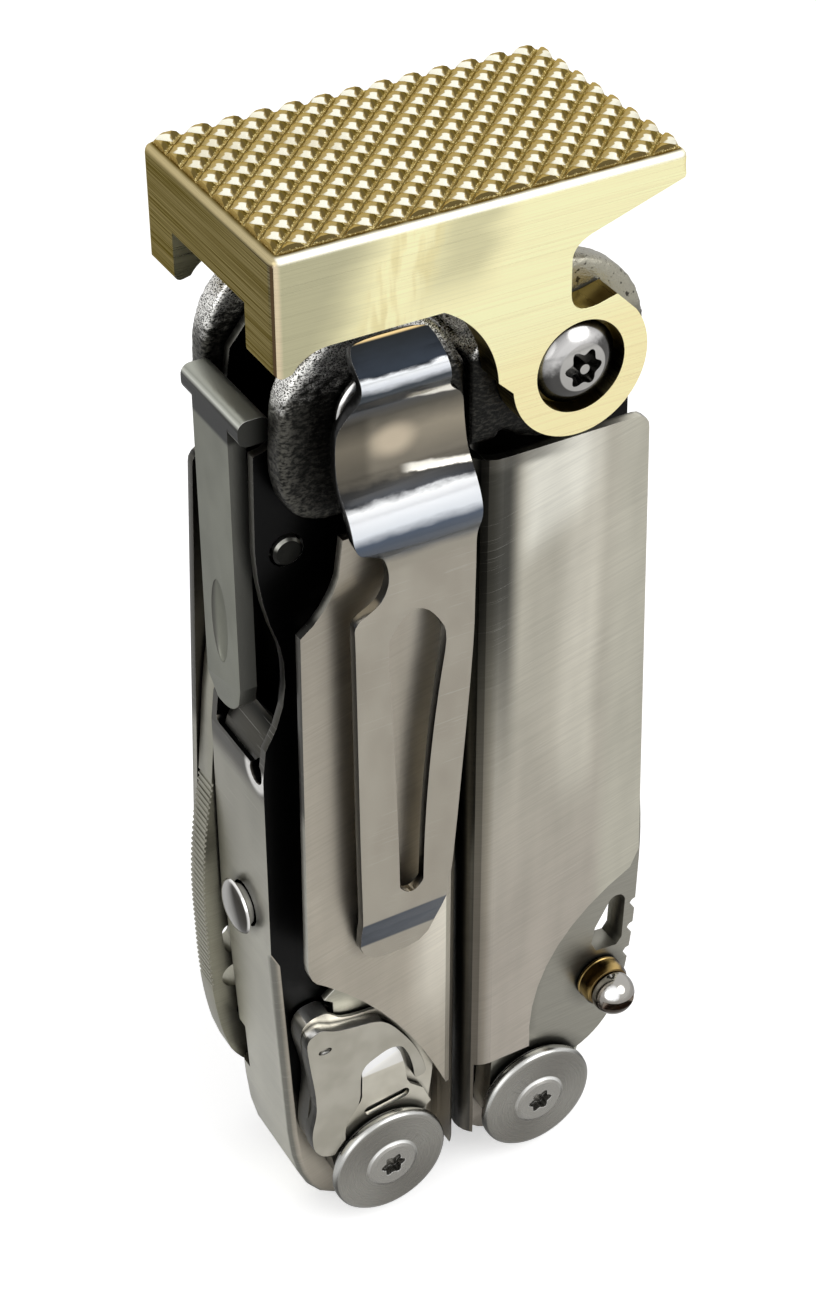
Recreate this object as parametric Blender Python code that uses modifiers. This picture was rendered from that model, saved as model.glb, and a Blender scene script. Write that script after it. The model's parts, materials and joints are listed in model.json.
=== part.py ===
"""Folded plier tool with a brass hammer head, standing on its lower end.

All sizes are in millimetres and are turned into metres as each mesh is made. X runs to the right
along the front, Y from the front to the back, Z up. The two handles lie side by side, and the plane
x = 0 is the gap between them. Outlines are given as (distance from that plane, height).
"""
import math

import bmesh
import bpy
from mathutils import Matrix, Vector

MM = 0.001

# ---------------------------------------------------------------- driving sizes, in millimetres
GAP = 0.3                 # clearance between pieces that nearly touch
SHEET = 1.0               # sheet of the handle pressings
CENTRE_GAP = 0.4          # half of the gap between the two handles
WALL_Y = 10.4             # outer face of a handle's outer walls
CHANNEL_Y = 5.7           # outer face of a handle's inner channel
CHANNEL_BEND = 2.4        # outer bend radius between channel wall and web
WEB_X = 20.6              # outer face of a handle's web
WALL_EDGE = 19.4          # free edge of the outer wall at its top
WALL_FLARE = 2.1          # how far that edge flares out towards the shoulder
WALL_TOP_RIGHT = 96.4
WALL_TOP_LEFT = 93.2
WALL_FOOT = 17.0          # lower edge of the outer walls at the fold
TAIL_FOOT = 6.2           # lower end of the narrow tail of the fold
TAIL_WIDTH = 1.1
PIVOT_X = 9.8             # handle pivots, at the upper end
PIVOT_Z = 105.5
AXLE_X = 9.5              # tool axles, at the lower end
AXLE_Z = 8.4
CHANNEL_EAR_R = 6.2       # round end of a channel wall about the handle pivot
EAR_R = 9.3               # cheek of a plier arm about the handle pivot
EAR_THICK = 3.1
JOINT_Z = 86.0            # joint of the two plier halves
JOINT_R = 7.0
JAW_TIP_Z = 42.0
JAW_Y = 4.2               # half thickness of neck and jaws
PLIER_PIN_R = 2.0
TOOL_THICK = 3.0          # outer blades
TANG_R = 5.7
AXLE_R = 2.6
DISC_R = 6.9
DISC_THICK = 1.5
BOSS_R = 3.1
BOSS_HEIGHT = 0.4
SCREW_R = 2.2
SCREW_HEAD_R = 4.2
SCREW_HEAD_HEIGHT = 2.5
HAMMER_LEFT = 21.0        # from the centre plane to the hammer's left end
HAMMER_RIGHT = 20.4
HAMMER_Y = 12.6           # half width of the hammer
HAMMER_RISE = 19.7        # striking face above the handle pivots
OVERHANG_TIP = 3.3        # thickness of the overhang at its tip and at its root
OVERHANG_ROOT = 6.3
HAMMER_EDGE = 0.6
KNURL_ALONG = 3.08        # spacing of the striking face's pyramids, along and across it
KNURL_ACROSS = 3.0
KNURL_DEPTH = 0.6
KNURL_TOP_SHARE = 0.25    # how much of each pyramid's width its flat top keeps
KNURL_RIM = 0.7           # plain rim round the pyramids
LUG_R = 7.2
LUG_THICK = 3.1
LEG_INNER_Y = 7.1
CLIP_SHEET = 1.0
CLIP_TOP = 113.2
CLIP_FOOT = 41.0
BAR_X = 21.6              # outer face of the T-headed bar
BAR_THICK = 1.8
BAR_HALF_WIDTH = 3.6
BAR_FOOT = 70.0
T_HALF_LENGTH = 5.8
T_DEPTH = 3.2
T_HEIGHT = 2.7
T_Z = 104.0
BUTTON_Z = 43.5
BUTTON_R = 3.4
BUTTON_STEM_R = 2.3
BUTTON_STANDOFF = 0.8
BUTTON_DOME = 1.0
STUD_X = 17.9
STUD_Z = 22.2
COLLAR_R = 2.8
COLLAR_HEIGHT = 2.1
STUD_NECK_R = 1.3
STUD_BALL_R = 2.45
STUD_BALL_SINK = 0.5        # how far the ball is cut off below its middle
STOP_PIN_X = 17.2
STOP_PIN_Z = 90.3
STOP_PIN_R = 1.5
INNER_TOOL_THICK = 2.7
SPRING_THICK = 0.9
SAW_THICK = 0.8
SAW_TOOTH = 2.6           # pitch of the saw's teeth

# ---------------------------------------------------------------- values that follow from them
FOLD_R = (WALL_Y - CHANNEL_Y + SHEET) / 2
FOLD_X = CENTRE_GAP + FOLD_R
FOLD_Y = WALL_Y - FOLD_R
POCKET_IN = CHANNEL_Y + GAP + 0.05
POCKET_OUT = POCKET_IN + TOOL_THICK
EAR_IN = CHANNEL_Y + GAP + 0.1
EAR_OUT = EAR_IN + EAR_THICK
DISC_IN = POCKET_OUT + GAP + 0.05
CHANNEL_EDGE = PIVOT_X - CHANNEL_EAR_R
LUG_IN = HAMMER_Y - LUG_THICK
HAMMER_TOP = PIVOT_Z + HAMMER_RISE
HAMMER_RIM = HAMMER_TOP - KNURL_DEPTH - 0.05
HAMMER_FLOOR = PIVOT_Z + EAR_R + GAP
SLOT_CEILING = PIVOT_Z + BAR_X - PIVOT_X + 0.7
WEB_IN = WEB_X - SHEET
SPRING_X = WEB_IN - 3.0
RIGHT = 1
LEFT = -1
FRONT = -1
BACK = 1

for old in list(bpy.data.objects):
    bpy.data.objects.remove(old, do_unlink=True)

PARTS = bpy.data.collections.new("plier_tool_with_hammer")
CUTTERS = bpy.data.collections.new("cutters")
bpy.context.scene.collection.children.link(PARTS)
bpy.context.scene.collection.children.link(CUTTERS)


# ---------------------------------------------------------------- outlines
def arc(centre, radius, start, end, count):
    """Points on an arc, both ends included, angles in degrees."""
    points = []
    for step in range(count + 1):
        angle = math.radians(start + (end - start) * step / count)
        points.append((centre[0] + radius * math.cos(angle), centre[1] + radius * math.sin(angle)))
    return points


def bow(start, control, end, count):
    """Points on a quadratic curve, both ends included."""
    points = []
    for step in range(count + 1):
        t = step / count
        a, b, c = (1 - t) ** 2, 2 * t * (1 - t), t * t
        points.append((a * start[0] + b * control[0] + c * end[0],
                       a * start[1] + b * control[1] + c * end[1]))
    return points


def circle(centre, radius, count):
    return arc(centre, radius, 0, 360 - 360 / count, count - 1)


def beside(chain, distance):
    """An open chain of points shifted to its left by a distance."""
    shifted = []
    for index, point in enumerate(chain):
        before = Vector(chain[max(index - 1, 0)])
        after = Vector(chain[min(index + 1, len(chain) - 1)])
        along = (after - before).normalized()
        shifted.append((point[0] - along.y * distance, point[1] + along.x * distance))
    return shifted


def mirrored(points, side):
    return [(side * x, z) for x, z in points]


# ---------------------------------------------------------------- solids
AXES = {
    "X": Matrix(((0, 0, 1, 0), (1, 0, 0, 0), (0, 1, 0, 0), (0, 0, 0, 1))),
    "Y": Matrix(((1, 0, 0, 0), (0, 0, -1, 0), (0, 1, 0, 0), (0, 0, 0, 1))),
    "Z": Matrix.Identity(4),
}


def clean(mesh, merge=1e-6):
    """Weld a mesh, join its flat triangles and turn its faces outwards."""
    work = bmesh.new()
    work.from_mesh(mesh)
    bmesh.ops.remove_doubles(work, verts=work.verts, dist=merge)
    bmesh.ops.dissolve_limit(work, angle_limit=1e-4, verts=work.verts, edges=work.edges)
    bmesh.ops.recalc_face_normals(work, faces=work.faces)
    work.to_mesh(mesh)
    work.free()


def settle(name, scratch, matrix, collection):
    """Keep what an object evaluates to as a plain mesh object, and drop the object itself."""
    graph = bpy.context.evaluated_depsgraph_get()
    mesh = bpy.data.meshes.new_from_object(scratch.evaluated_get(graph))
    mesh.name = name
    mesh.transform(matrix)
    bpy.data.objects.remove(scratch, do_unlink=True)
    clean(mesh)
    solid = bpy.data.objects.new(name, mesh)
    collection.objects.link(solid)
    return solid


def plate(name, loops, low, high, axis="Y", collection=PARTS):
    """A flat outline with holes, given a thickness from low to high along an axis."""
    curve = bpy.data.curves.new(name, "CURVE")
    curve.dimensions = "2D"
    curve.fill_mode = "BOTH"
    curve.extrude = abs(high - low) / 2 * MM
    for loop in loops:
        spline = curve.splines.new("POLY")
        spline.points.add(len(loop) - 1)
        for point, (u, v) in zip(spline.points, loop):
            point.co = (u * MM, v * MM, 0, 1)
        spline.use_cyclic_u = True
    scratch = bpy.data.objects.new(name, curve)
    collection.objects.link(scratch)
    middle = (low + high) / 2 * MM
    shift = {"X": (middle, 0, 0), "Y": (0, middle, 0), "Z": (0, 0, middle)}[axis]
    return settle(name, scratch, Matrix.Translation(shift) @ AXES[axis], collection)


def turned(name, profile, centre, axis, direction, steps=24, collection=PARTS):
    """A profile of (radius, height) turned about an axis through centre."""
    mesh = bpy.data.meshes.new(name)
    points = [(radius * MM, 0, height * MM) for radius, height in profile]
    mesh.from_pydata(points, [(i, i + 1) for i in range(len(points) - 1)], [])
    scratch = bpy.data.objects.new(name, mesh)
    collection.objects.link(scratch)
    screw = scratch.modifiers.new("turn", "SCREW")
    screw.steps = steps
    screw.render_steps = steps
    screw.use_merge_vertices = True
    screw.merge_threshold = 1e-6
    turn = {"X": Matrix.Rotation(math.radians(90) * direction, 4, "Y"),
            "Y": Matrix.Rotation(math.radians(-90) * direction, 4, "X"),
            "Z": Matrix.Rotation(0 if direction > 0 else math.pi, 4, "X")}[axis]
    place = Matrix.Translation(Vector(centre) * MM)
    solid = settle(name, scratch, place @ turn, collection)
    solid.data.shade_smooth()
    solid.data.set_sharp_from_angle(angle=math.radians(35))
    return solid


def rod(name, radius, centre, low, high, axis="Y", steps=24, collection=PARTS):
    """A plain round bar from low to high along an axis."""
    profile = [(0, high), (radius, high), (radius, low), (0, low)]
    return turned(name, profile, centre, axis, 1, steps, collection)


def boolean(target, tool, operation):
    """Cut, join or keep with another solid, which becomes a hidden guide."""
    if tool.name not in CUTTERS.objects:
        CUTTERS.objects.link(tool)
    if tool.name in PARTS.objects:
        PARTS.objects.unlink(tool)
    tool.hide_render = True
    tool.display_type = "WIRE"
    step = target.modifiers.new(tool.name, "BOOLEAN")
    step.operation = operation
    step.solver = "EXACT"
    step.object = tool


def cut(target, tool):
    boolean(target, tool, "DIFFERENCE")


def join(target, tool):
    boolean(target, tool, "UNION")


def keep(target, tool):
    boolean(target, tool, "INTERSECT")


def hole(target, radius, x, z, low, high, steps=20):
    """A round hole along Y."""
    tool = rod(target.name + "_hole", radius, (x, 0, z), low, high, "Y", steps, CUTTERS)
    cut(target, tool)


def round_edges(solid, width, segments, test):
    """Bevel the edges whose two ends pass a test, given in millimetres."""
    work = bmesh.new()
    work.from_mesh(solid.data)
    chosen = []
    for edge in work.edges:
        sharp = len(edge.link_faces) == 2 and edge.calc_face_angle() > math.radians(30)
        if sharp and all(test(vertex.co / MM) for vertex in edge.verts):
            chosen.append(edge)
    bmesh.ops.bevel(work, geom=chosen, offset=width * MM, segments=segments,
                    profile=0.5, affect="EDGES", clamp_overlap=True)
    work.to_mesh(solid.data)
    work.free()


def finish(solid, body, colour, roughness, metallic=1.0):
    """Give a piece its material and hang it on the empty of its body."""
    solid.data.transform(Matrix.Translation(-body.location))
    solid.parent = body
    material = bpy.data.materials.new(solid.name)
    material.use_nodes = True
    shader = material.node_tree.nodes["Principled BSDF"]
    shader.inputs["Base Color"].default_value = (*colour, 1)
    shader.inputs["Roughness"].default_value = roughness
    shader.inputs["Metallic"].default_value = metallic
    solid.data.materials.clear()
    solid.data.materials.append(material)
    return solid


def body(name, x=0.0, y=0.0, z=0.0):
    """The empty of a moving body, on its joint's axis."""
    empty = bpy.data.objects.new(name + "_axis", None)
    empty.location = (x * MM, y * MM, z * MM)
    PARTS.objects.link(empty)
    return empty


BRASS = (0.78, 0.66, 0.36)
SATIN = (0.56, 0.54, 0.51)
BRIGHT = (0.62, 0.62, 0.64)
CAST = (0.13, 0.13, 0.13)
BRONZE = (0.36, 0.24, 0.09)

HEAD = body("plier_head", 0, 0, JOINT_Z)
HAMMER = body("hammer", PIVOT_X, 0, PIVOT_Z)
HANDLES = {RIGHT: body("right_handle", PIVOT_X, 0, PIVOT_Z),
           LEFT: body("left_handle", -PIVOT_X, 0, PIVOT_Z)}
BLADES = {name: body(name, side * AXLE_X, 0, AXLE_Z)
          for name, side in (("knife", RIGHT), ("file", RIGHT), ("saw", LEFT), ("serrated", LEFT))}
BAR = body("side_bar", -(BAR_X - T_DEPTH / 2), 0, T_Z)
SIDE_NAME = {RIGHT: "right", LEFT: "left"}
FACE_NAME = {FRONT: "front", BACK: "back"}


# ---------------------------------------------------------------- handles
def wall_outline(top, long_wall):
    """Silhouette of an outer wall with its fold and the tail that runs down beside the axle."""
    foot = [(CENTRE_GAP - GAP / 2, TAIL_FOOT), (CENTRE_GAP + TAIL_WIDTH, TAIL_FOOT)]
    if long_wall:
        shoulder = WALL_EDGE + WALL_FLARE
        foot += [(CENTRE_GAP + TAIL_WIDTH, WALL_FOOT)]
        foot += bow((shoulder - 13.2, WALL_FOOT), (shoulder - 14.3, WALL_FOOT + 14.5),
                    (shoulder - 1.0, WALL_FOOT + 21.2), 9)
        foot += [(shoulder, WALL_FOOT + 23.5), (WALL_EDGE, top - 1.6)]
        foot += arc((WALL_EDGE - 1.5, top - 1.5), 1.5, 20, 90, 3)
    else:
        edge = WALL_EDGE - 0.7
        foot += [(CENTRE_GAP + TAIL_WIDTH, WALL_FOOT - 0.4)]
        foot += bow((CENTRE_GAP + 1.9, WALL_FOOT - 0.3), (edge - 11.2, WALL_FOOT + 13.5),
                    (edge - 1.9, WALL_FOOT + 21.5), 8)
        foot += bow((edge - 0.9, WALL_FOOT + 22.3), (edge, WALL_FOOT + 23.2),
                    (edge, WALL_FOOT + 25.0), 3)
        foot += bow((edge - 0.3, WALL_FOOT + 66.5), (edge - 3.2, WALL_FOOT + 68.4),
                    (edge - 4.4, WALL_FOOT + 72.0), 4)
        foot += [(edge - 4.9, min(top, WALL_FOOT + 76.0))]
        if top > WALL_FOOT + 76.5:
            foot += [(edge - 6.0, top)]
    return foot + [(CENTRE_GAP - GAP / 2, top)]


def folded_wall(name, side, face, top, long_wall):
    """Outer wall, fold and the start of the channel wall, of one bent sheet."""
    out = 25.0
    leg = FOLD_X + 2.2
    centre = (FOLD_X, face * FOLD_Y)
    away, back = (90, 270) if face > 0 else (270, 90)
    loop = [(out, face * WALL_Y)]
    loop += arc(centre, FOLD_R, away, back, 12)
    inset = 0.02
    loop += [(leg, face * (CHANNEL_Y - SHEET + inset)), (leg, face * (CHANNEL_Y - inset))]
    loop += arc(centre, FOLD_R - SHEET, back, away, 10)
    loop += [(out, face * (WALL_Y - SHEET))]
    wall = plate(name, [mirrored(loop, side)], 0, top + 5, "Z", CUTTERS)
    low, high = sorted((face * (CHANNEL_Y - SHEET - 1), face * (WALL_Y + 1)))
    outline = mirrored(wall_outline(top, long_wall), side)
    mask = plate(name + "_mask", [outline], low, high, "Y", CUTTERS)
    keep(wall, mask)
    return wall


def web_chain(open_web):
    """Outer side of the channel, from the bottom flat up to the handle pivot."""
    chain = bow((AXLE_X + 2.5, 0.0), (WEB_X - 2.0, 0.4), (WEB_X - 1.3, 13.0), 6)
    chain += [(WEB_X - 0.7, 25.0), (WEB_X, 40.0)]
    if open_web:
        chain += [(WEB_X, 64.0)]
        chain += bow((WEB_X - 0.4, 67.5), (WEB_X - 3.3, 72.0), (WEB_X - 2.7, 77.5), 4)
        chain += bow((WEB_X - 2.4, 79.5), (WEB_X - 0.3, 85.0), (WEB_X - 0.2, 91.0), 4)
        saddle = (BAR_X - T_DEPTH / 2, T_Z)
        chain += [(WEB_X - 0.4, T_Z - 2.7)]
        chain += arc(saddle, 2.6, -90, -170, 4)
        chain += [(PIVOT_X + CHANNEL_EAR_R + 1.1, PIVOT_Z + 0.8)]
    else:
        chain += [(WEB_X, 66.0), (WEB_X - 0.3, 85.0), (WEB_X - 0.7, 99.0)]
        chain += [(PIVOT_X + CHANNEL_EAR_R + 1.1, PIVOT_Z + 0.8)]
    return chain


def channel(name, side, open_web):
    """Inner channel of a handle, open to the centre, with its round ends."""
    chain = web_chain(open_web)
    axle = (AXLE_X, AXLE_Z)
    outline = arc(axle, AXLE_Z, 182, 262, 6) + chain
    outline += arc((PIVOT_X, PIVOT_Z), CHANNEL_EAR_R, 32, 180, 10)
    outline += [(CHANNEL_EDGE, WALL_FOOT + 1.0), (1.4, WALL_FOOT - 1.6)]
    solid = plate(name, [mirrored(outline, side)], -CHANNEL_Y, CHANNEL_Y)
    top = 62.0 if open_web else 97.0

    def on_web(point):
        return abs(point.x) > AXLE_X + 2.2 and point.z < top

    def long_edge(half):
        return lambda point: on_web(point) and abs(abs(point.y) - half) < 0.01

    round_edges(solid, CHANNEL_BEND, 3, long_edge(CHANNEL_Y))
    inner = [point for point in chain if point[1] < 66.5]
    hollow = [(-3.0, -3.0), (AXLE_X + 2.5, -3.0)] + beside(inner, SHEET)
    if open_web:
        hollow += [(WEB_IN, 64.5), (WEB_X + 3.0, 64.5), (WEB_X + 3.0, 120.0), (-3.0, 120.0)]
    else:
        hollow += [(WEB_IN, 120.0), (-3.0, 120.0)]
    void = plate(name + "_void", [mirrored(hollow, side)], SHEET - CHANNEL_Y, CHANNEL_Y - SHEET,
                 "Y", CUTTERS)
    round_edges(void, CHANNEL_BEND - SHEET, 2, lambda point: abs(point.x) > AXLE_X + 3
                and -1 < point.z < 119 and abs(abs(point.y) - CHANNEL_Y + SHEET) < 0.01)
    cut(solid, void)
    return solid


def handle(side):
    """One pressing: channel, two folds, two outer walls, and the holes for what it carries."""
    name = "handle_" + SIDE_NAME[side]
    open_web = side == LEFT
    solid = channel(name, side, open_web)
    top = WALL_TOP_LEFT if open_web else WALL_TOP_RIGHT
    for face in (FRONT, BACK):
        long_wall = side * face < 0
        label = name + "_" + FACE_NAME[face]
        join(solid, folded_wall(label, side, face, top, long_wall))
    if open_web:
        lip = bow((WEB_X, 61.5), (WEB_X - 0.4, 66.0), (WEB_X - 2.9, 68.4), 4)
        lip += [(WEB_X - 3.6, 67.7)]
        lip += bow((WEB_X - 3.2, 67.0), (WEB_X - 1.3, 65.0), (WEB_X - 1.1, 61.5), 3)
        half = BAR_HALF_WIDTH + 0.2
        join(solid, plate(name + "_lip", [mirrored(lip, side)], -half, half, "Y", CUTTERS))
        notch = rod(name + "_notch", 1.3, (0, -half - 0.3, 64.0), -WEB_X - 3, -WEB_X + 5, "X", 16,
                    CUTTERS)
        cut(solid, notch)
    window_face = -side * BACK
    window = [(WEB_X - 3.4, 15.5), (WEB_X + 2, 15.5), (WEB_X + 2, 22.0), (WEB_X - 3.0, 22.0)]
    low, high = sorted((window_face * (CHANNEL_Y - SHEET - 1.2), window_face * (CHANNEL_Y + 1)))
    window_tool = plate(name + "_window", [mirrored(window, side)], low, high, "Y", CUTTERS)
    cut(solid, window_tool)
    reach = CHANNEL_Y + 1
    hole(solid, AXLE_R + GAP, side * AXLE_X, AXLE_Z, -reach, reach)
    hole(solid, SCREW_R + GAP, side * PIVOT_X, PIVOT_Z, -reach, reach)
    hole(solid, STOP_PIN_R + GAP, side * STOP_PIN_X, STOP_PIN_Z, -reach, reach, 16)
    low, high = sorted((side * (WEB_X - 3), side * (WEB_X + 3)))
    bore = rod(name + "_bore", BUTTON_STEM_R + GAP, (0, 0, BUTTON_Z), low, high, "X", 20, CUTTERS)
    cut(solid, bore)
    return finish(solid, HANDLES[side], SATIN, 0.34)


for side in (RIGHT, LEFT):
    handle(side)


# ---------------------------------------------------------------- plier halves
def cheek_outline(square):
    """Cheek of a plier arm. The left one is squarer at its lower outer corner."""
    centre = (PIVOT_X, PIVOT_Z)
    if not square:
        return circle(centre, EAR_R, 28)
    outer = PIVOT_X + EAR_R + 0.2
    points = arc(centre, EAR_R, 0, 270, 20)
    foot = PIVOT_Z - EAR_R - 1.7
    points[-1] = (PIVOT_X - 1.5, foot + 0.1)
    points += [(PIVOT_X + 5.2, foot + 0.2)]
    points += bow((PIVOT_X + 7.0, foot + 0.9), (outer - 0.3, foot + 2.0), (outer, foot + 6.0), 4)
    return points


def plier_half(side):
    """Arm with two cheeks, a saddle between them, a neck, half of the joint, and the far jaw."""
    name = "plier_arm_" + SIDE_NAME[side]
    half = (0.15, JAW_Y) if side == RIGHT else (-JAW_Y, -0.15)
    joint = (0.0, JOINT_Z)
    near = CHANNEL_EDGE - GAP
    gap = CENTRE_GAP / 2
    own = [(gap, PIVOT_Z - 7.6), (near, PIVOT_Z - 7.6), (near + 0.9, JOINT_Z + 9.5)]
    own += arc(joint, JOINT_R, 52, -65, 8)
    own += [(-gap, JOINT_Z - 7.6), (-gap, JOINT_Z - 12.0), (-6.1, JOINT_Z - 12.0)]
    own += arc(joint, JOINT_R, 205, 110, 6)
    own += [(gap, JOINT_Z + 7.4)]
    solid = plate(name, [mirrored(own, side)], half[0], half[1])
    neck = [(gap, PIVOT_Z - 6.0), (near, PIVOT_Z - 6.0), (near, JOINT_Z + 10.2)]
    neck += [(6.4, JOINT_Z + 6.3)] + arc(joint, JOINT_R + 0.4, 50, 88, 5)
    join(solid, plate(name + "_neck", [mirrored(neck, side)], -JAW_Y, JAW_Y, "Y", CUTTERS))
    jaw = arc(joint, JOINT_R + 0.4, 268, 226, 5)
    jaw += [(-6.4, JOINT_Z - 7.0)]
    jaw += bow((-6.6, JOINT_Z - 13.0), (-5.0, JAW_TIP_Z + 14.0), (-2.3, JAW_TIP_Z + 1.2), 6)
    jaw += [(-1.6, JAW_TIP_Z), (-gap, JAW_TIP_Z)]
    join(solid, plate(name + "_jaw", [mirrored(jaw, side)], -JAW_Y, JAW_Y, "Y", CUTTERS))
    saddle = [(gap, PIVOT_Z - 7.9), (near, PIVOT_Z - 7.9), (near, PIVOT_Z + 2.0),
              (gap + 0.6, PIVOT_Z + 2.4), (gap, PIVOT_Z + 1.8)]
    join(solid, plate(name + "_saddle", [mirrored(saddle, side)], -EAR_OUT + 0.1, EAR_OUT - 0.1,
                      "Y", CUTTERS))
    cheek = mirrored(cheek_outline(side == LEFT), side)
    for face in (FRONT, BACK):
        low, high = sorted((face * EAR_IN, face * EAR_OUT))
        ear = plate("%s_cheek_%s" % (name, FACE_NAME[face]), [cheek], low, high, "Y", CUTTERS)
        round_edges(ear, 0.7, 2, lambda point: abs(abs(point.y) - EAR_OUT) < 0.01)
        join(solid, ear)
    hole(solid, SCREW_R + GAP, side * PIVOT_X, PIVOT_Z, -EAR_OUT - 1, EAR_OUT + 1)
    hole(solid, PLIER_PIN_R + GAP, 0, JOINT_Z, -JAW_Y - 1, JAW_Y + 1)
    return finish(solid, HEAD, CAST, 0.48)


for side in (RIGHT, LEFT):
    plier_half(side)
finish(rod("plier_pin", PLIER_PIN_R, (0, 0, JOINT_Z), -JAW_Y, JAW_Y), HEAD, SATIN, 0.3)


# ---------------------------------------------------------------- pivot screws and nuts
def lobed(centre, radius, count=6, share=0.28):
    """Outline of a six-lobe recess."""
    points = []
    for step in range(count * 4):
        angle = math.radians(360 * step / (count * 4))
        reach = radius * (1 - share * (0.5 - 0.5 * math.cos(count * angle)))
        points.append((centre[0] + reach * math.cos(angle), centre[1] + reach * math.sin(angle)))
    return points


def screw_head(name, side, face, seat, height, shaft):
    """Domed head with a pin in its six-lobe recess, and its share of the shaft."""
    radius = SCREW_HEAD_R
    dome = bow((0.01, seat + height), (radius * 0.72, seat + height * 0.98),
               (radius, seat + height * 0.3), 6)
    profile = [(0, seat + height)] + dome[1:] + [(radius, seat), (SCREW_R, seat)]
    profile += [(SCREW_R, shaft), (0, shaft)]
    centre = (side * PIVOT_X, 0, PIVOT_Z)
    solid = turned(name, profile, centre, "Y", face, 28)
    recess = [lobed((side * PIVOT_X, PIVOT_Z), radius * 0.47),
              circle((side * PIVOT_X, PIVOT_Z), 0.45, 10)]
    low, high = sorted((face * (seat + height * 0.35), face * (seat + height + 1)))
    cut(solid, plate(name + "_recess", recess, low, high, "Y", CUTTERS))
    return finish(solid, HEAD, (0.3, 0.3, 0.33), 0.16)


LUG_FLOOR = LUG_IN + 0.9
for side in (RIGHT, LEFT):
    seat = LUG_FLOOR + GAP + 0.05 if side == RIGHT else EAR_OUT + GAP
    height = SCREW_HEAD_HEIGHT if side == RIGHT else SCREW_HEAD_HEIGHT - 0.9
    screw_head("pivot_screw_" + SIDE_NAME[side], side, FRONT, seat, height, -3.0)
    screw_head("pivot_nut_" + SIDE_NAME[side], side, BACK, seat, height, 3.0 + GAP)


# ---------------------------------------------------------------- hammer head
def knurling():
    """Striking face: rows of blunt pyramids, as two sets of crossed grooves leave them."""
    span_x = HAMMER_LEFT + HAMMER_RIGHT - 2 * KNURL_RIM
    span_y = 2 * (HAMMER_Y - KNURL_RIM)
    columns = 2 * max(1, round(span_x / KNURL_ALONG))
    rows = 2 * max(1, round(span_y / KNURL_ACROSS))
    step_x, step_y = span_x / columns, span_y / rows
    middle = (HAMMER_RIGHT - HAMMER_LEFT) / 2
    valley = HAMMER_TOP - KNURL_DEPTH
    work = bmesh.new()
    for column in range(-1, columns + 2):
        for row in range(-1, rows + 2):
            if (column + row - (columns + rows) // 2) % 2:
                continue
            x = middle + (column - columns / 2) * step_x
            y = (row - rows / 2) * step_y
            rings = []
            for share, z in ((1.0, valley), (KNURL_TOP_SHARE, HAMMER_TOP)):
                corners = ((share * step_x, 0), (0, share * step_y),
                           (-share * step_x, 0), (0, -share * step_y))
                rings.append([work.verts.new(((x + dx) * MM, (y + dy) * MM, z * MM))
                              for dx, dy in corners])
            low, high = rings
            work.faces.new(high)
            for index in range(4):
                work.faces.new((low[index - 1], low[index], high[index], high[index - 1]))
    bmesh.ops.remove_doubles(work, verts=work.verts, dist=1e-6)
    for sign in (-1, 1):
        for point, normal in (((middle + sign * span_x / 2, 0, 0), (sign, 0, 0)),
                              ((0, sign * span_y / 2, 0), (0, sign, 0))):
            everything = [*work.verts, *work.edges, *work.faces]
            bmesh.ops.bisect_plane(work, geom=everything, dist=1e-7, clear_outer=True,
                                   plane_co=Vector(point) * MM, plane_no=normal)
    rim = [edge for edge in work.edges if edge.is_boundary]
    grown = bmesh.ops.extrude_edge_only(work, edges=rim)["geom"]
    for item in grown:
        if isinstance(item, bmesh.types.BMVert):
            item.co.z = (HAMMER_RIM - 0.5) * MM
    bmesh.ops.holes_fill(work, edges=[edge for edge in work.edges if edge.is_boundary])
    mesh = bpy.data.meshes.new("hammer_knurling")
    work.to_mesh(mesh)
    work.free()
    clean(mesh)
    relief = bpy.data.objects.new("hammer_knurling", mesh)
    CUTTERS.objects.link(relief)
    return relief


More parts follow.
